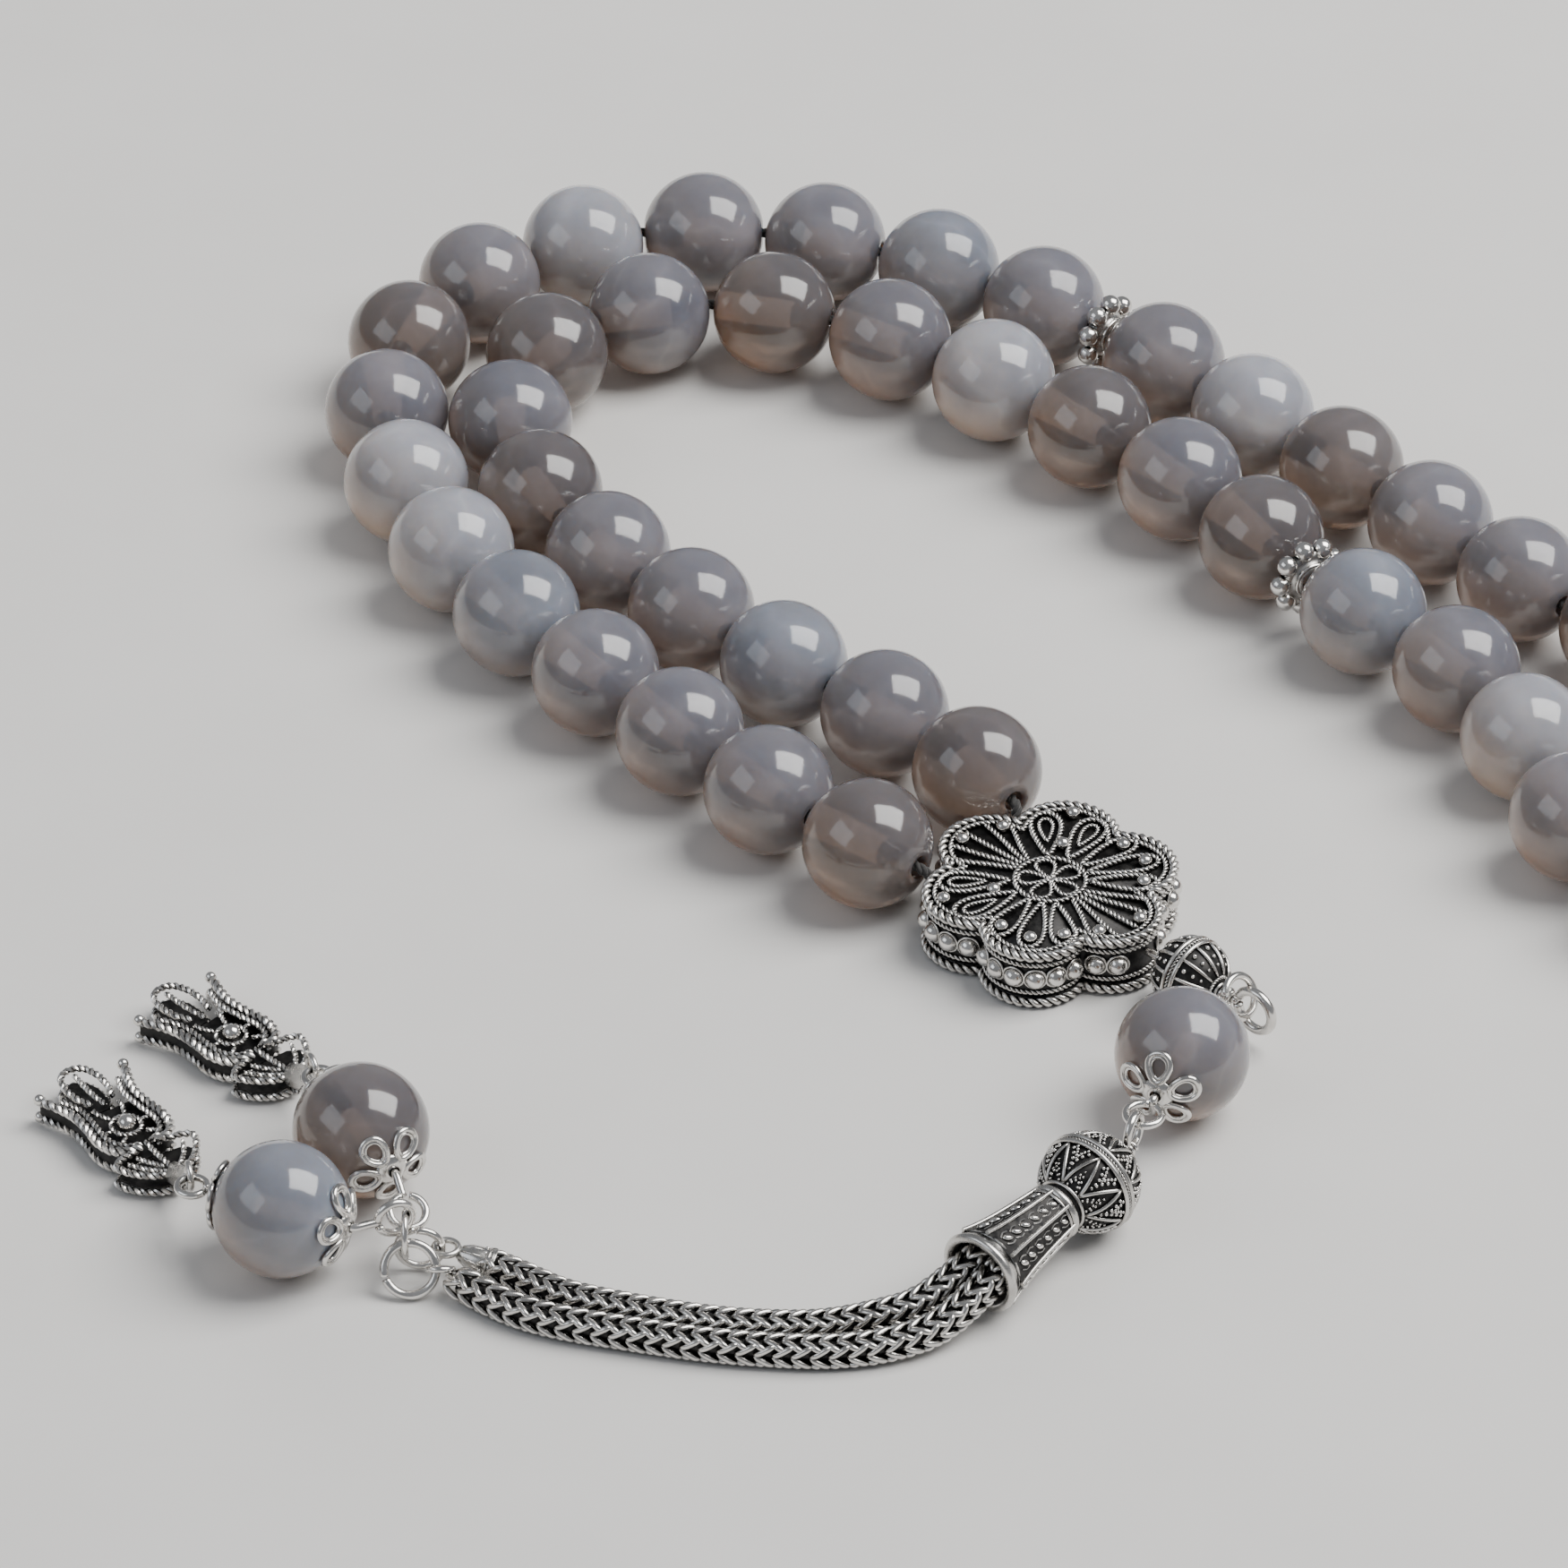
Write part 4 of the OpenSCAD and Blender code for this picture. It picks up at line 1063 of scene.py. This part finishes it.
def jump_ring(name, c, n, r, wire, body, node, seam):
    """A wire ring with its saw-cut seam almost closed."""
    path = arc(c, n, r, seam + 2.2, seam + 357.8, 60) + np.linspace(-0.05, 0.05, 60)[:, None] * unit(n)
    s = Shape()
    rr = np.full(60, wire)
    rr[0] = rr[-1] = wire * 0.9
    s.tube(path, rr, 12)
    make(name, s, [wire_silver], body, node)


def build_rings():
    jump_ring("jump_ring_front", FRONT_RING_C, FRONT_RING_N, 1.5, 0.27, "front_ring", "front_ring", 200)
    jump_ring("jump_ring_back", BACK_RING_C, (0, 1, 0), 1.3, 0.225, "back_ring", "back_ring", 80)
    jump_ring("jump_ring_middle", GATHER_C, (1, 0, 0), 1.3, 0.2, "gather_ring", "gather_ring", 250)


# ---------------------------------------------------------------- drops
TULIP_TOP, TULIP_LOW = 1.62, 0.38
TULIP_SIDE = [(3.5, 0.5), (3.9, 1.7), (5.2, 2.25), (7.0, 2.1), (8.6, 2.15), (10.7, 2.9)]
TULIP_LINING = [(3.8, 0.3), (4.2, 1.2), (5.3, 1.7), (7.0, 1.55), (8.5, 1.5), (9.9, 1.95)]
TULIP_LEAF = [(0.5, 0.3), (0.9, 1.3), (1.8, 2.2), (2.8, 2.65), (3.3, 2.0), (3.4, 1.1)]
TULIP_FLAME = [(8.6, 0.7), (9.4, 1.05), (10.7, 1.15), (11.8, 0.8), (12.15, 0.0)]


def mirrored(half):
    """Outline from one half and its mirror image; a last point on the axis isn't repeated."""
    back = half[-2::-1] if half[-1][1] == 0 else half[::-1]
    return half + [(x, -y) for x, y in back]


def rope_line(s, pts, place, z, d=0.30, closed=False, pitch=0.46, core=False):
    path = curve([place(x, y, z) for x, y in pts], 8, closed)
    s.rope(path, d, pitch, closed, 0, per=6, sides=6)
    if core:  # blackened middle that shows between the two strands
        s.tube(resample(path, 0.5 * pitch, closed), 0.29 * d, 6, closed, 2)


def sheet_metal(s, outline, place, z, thick, mat):
    """Flat plate with the given outline, from z up."""
    n = len(outline)
    v = [place(x, y, z) for x, y in outline] + [place(x, y, z + thick) for x, y in outline]
    f = [tuple(range(n - 1, -1, -1)), tuple(range(n, 2 * n))]
    f += [(i, (i + 1) % n, n + (i + 1) % n, n + i) for i in range(n)]
    s.add(v, f, mat)


def build_tulip(which, base, angle, foot_eye):
    """Tulip charm of twisted wire in two layers, on a pyramid bail."""
    ca, sa = math.cos(math.radians(angle)), math.sin(math.radians(angle))

    def place(x, y, z):
        return vec(base[0] + ca * x - sa * y, base[1] + sa * x + ca * y, z)

    s = Shape()
    for z in (TULIP_TOP, TULIP_LOW):
        for m in (-1, 1):
            rope_line(s, [(x, y * m) for x, y in TULIP_SIDE], place, z, 0.68, pitch=1.05, core=True)
            if z == TULIP_TOP:
                rope_line(s, [(x, y * m) for x, y in TULIP_LINING], place, z, 0.44, pitch=0.75, core=True)
            rope_line(s, [(x, y * m) for x, y in TULIP_LEAF], place, z, 0.48, pitch=0.8, core=True)
        rope_line(s, mirrored(TULIP_FLAME), place, z, 0.48, pitch=0.8, core=True)
        if z == TULIP_TOP:
            rope_line(s, [(8.2, 0.0), (9.4, 0.1), (11.6, 0.0)], place, z, 0.40, pitch=0.66, core=True)
        rope_line(s, [(0.2, 0.0), (1.8, 0.05), (3.9, 0.0)], place, z, 0.42, pitch=0.7, core=True)
        for m in (-1, 1):
            s.grain(place(10.8, 2.9 * m, z), 0.36, 1)
    # dark plates behind the cup, the flame and the leaves, between the two layers: painted shade that darkens
    # the gaps in the openwork
    flame = [(8.7, 0.65), (9.5, 1.0), (10.7, 1.05), (11.7, 0.7), (12.0, 0.0)]
    for outline in (mirrored(TULIP_SIDE[:5]), mirrored(flame)):
        sheet_metal(s, outline, place, 0.62, 0.12, 2)
    for m in (-1, 1):
        leaf = [(0.7, 0.1), (0.9, 1.2), (1.8, 2.1), (2.75, 2.55), (3.25, 1.9), (3.4, 0.1)]
        sheet_metal(s, [(x, y * m) for x, y in leaf], place, 0.62, 0.12, 2)
    # inner scrolls, a vein in each leaf and a second one in the leaf on the +y side
    z = TULIP_TOP - 0.08
    for m in (-1, 1):
        rope_line(s, [(8.2, 0.9 * m), (7.6, 0.8 * m), (6.9, 0.5 * m)], place, z, 0.34, pitch=0.56)
        rope_line(s, [(4.9, 0.7 * m), (4.4, 1.2 * m), (3.9, 0.7 * m)], place, z, 0.34, pitch=0.56)
        rope_line(s, [(0.9, 0.4 * m), (1.8, 1.3 * m), (2.8, 1.9 * m)], place, z, 0.34, pitch=0.56)
    rope_line(s, [(1.4, 0.3), (2.2, 0.8), (3.0, 1.2)], place, z, 0.34, pitch=0.56)
    ring = [(5.9 + 0.9 * math.cos(q), 0.9 * math.sin(q)) for q in np.linspace(0, 2 * math.pi, 15)[:-1]]
    rope_line(s, ring, place, z, 0.36, True, pitch=0.6)
    s.grain(place(5.9, 0, TULIP_TOP + 0.06), 0.56, 1, seg=18, rings=12)
    # struts from the ring round the middle grain to the sides
    for m in (-1, 1):
        rope_line(s, [(5.9, -0.9 * m), (5.9, -1.9 * m)], place, z, 0.30, pitch=0.5)
    # blackened strip that joins the two layers along each side
    for m in (-1, 1):
        p = resample(curve([place(x, y * m, 0) for x, y in TULIP_SIDE], 8), 0.4)
        v = []
        tt = frame_along(p)[0]
        for i, q in enumerate(p):
            o = np.cross(tt[i], vec(0, 0, 1)) * 0.06
            for d, z in ((o, 0.55), (o, 1.45), (-o, 1.45), (-o, 0.55)):
                v.append((q[0] + d[0], q[1] + d[1], z))
        s.add(v, ring_faces(len(p), 4) + end_faces(len(p), 4), 2)
    # bail: ring through the foot eye and a four-sided cone that holds the charm
    flat = unit(vec(base[0] - foot_eye[0], base[1] - foot_eye[1], 0))
    link = foot_eye + 0.85 * flat
    bail = link + 0.25 * flat - vec(0, 0, 0.1)
    s.tube(arc(bail, np.cross(flat, vec(0, 0, 1)), 0.75, 0, 352, 30), 0.2, 10, True, 0)
    tip = place(0.7, 0, 1.25)
    w = unit(tip - bail)
    u2, v2, _ = basis(w)
    top = bail + 0.72 * w
    rows = [(0.22, 0.0), (0.34, 0.12), (0.62, 0.62), (0.74, 0.86), (0.70, 1.0)]
    span = float(np.linalg.norm(tip - top))
    pts, seg = [], 24
    for r, x in rows:
        for j in range(seg):
            a = 2 * math.pi * j / seg + math.pi / 4
            loc = (a % (math.pi / 2)) - math.pi / 4
            q = r * (0.25 + 0.75 * math.cos(math.pi / 4) / math.cos(loc) * 1.15)
            pts.append(top + x * span * w + q * spoke(a, u2, v2))
    s.add(pts, ring_faces(len(rows), seg) + end_faces(len(rows), seg), 3)
    s.grain(top + 0.05 * w, 0.26, 1)
    body = node = f"{which}_tulip"
    make(f"tulip_charm_{which}", s, [rope_silver, grain_silver, oxide, cast_silver], body, node, sharp=55)


def build_drop(which, c, head, head_eye, eye_n, base, angle, seed, look):
    h = unit(head)
    s, attrs = bead_shape(c, h, STONE_R, PIN_BORE, seed)
    body = f"{which}_drop_bead"
    make(f"agate_drop_{which}", s, [AGATES[look], bore_painted_glow], body, body, attrs=attrs)
    s = Shape()
    petal_cap(s, c, h, reach=2.4, turn=0.2 if which == "front" else 0.9)
    make(f"petal_cap_{which}_head", s, [wire_silver], body, f"{which}_drop_cap")
    s = Shape()
    petal_cap(s, c, -h, reach=1.95, turn=0.5)
    make(f"petal_cap_{which}_foot", s, [wire_silver], body, f"{which}_foot_cap")
    foot = c - FOOT_AT * h
    s = Shape()
    eye_shank(s, head_eye, eye_n, 1.05, c + BEND_AT * h, foot + FOOT_EYE_R * h)
    s.tube(eye_loop(foot, (0, 0, 1), FOOT_EYE_R, c, gap=20), EYE_WIRE_R, 12)
    make(f"eye_pin_{which}", s, [wire_silver], f"{which}_drop", f"{which}_drop_pin")
    build_tulip(which, base, angle, foot)


build_cord()
build_strand()
build_divider(1)
build_divider(2)
build_plaque()
build_plaque_pin()
build_round_bead()
build_pendant()
build_imame()
build_chains()
build_rings()
build_drop("front", FRONT_C, FRONT_HEAD, FRONT_HEAD_EYE, (0, 1, 0), FRONT_BASE, 126, 71, 3)
build_drop("back", BACK_C, BACK_HEAD, BACK_HEAD_EYE, (0, 0, 1), BACK_BASE, 136, 72, 2)
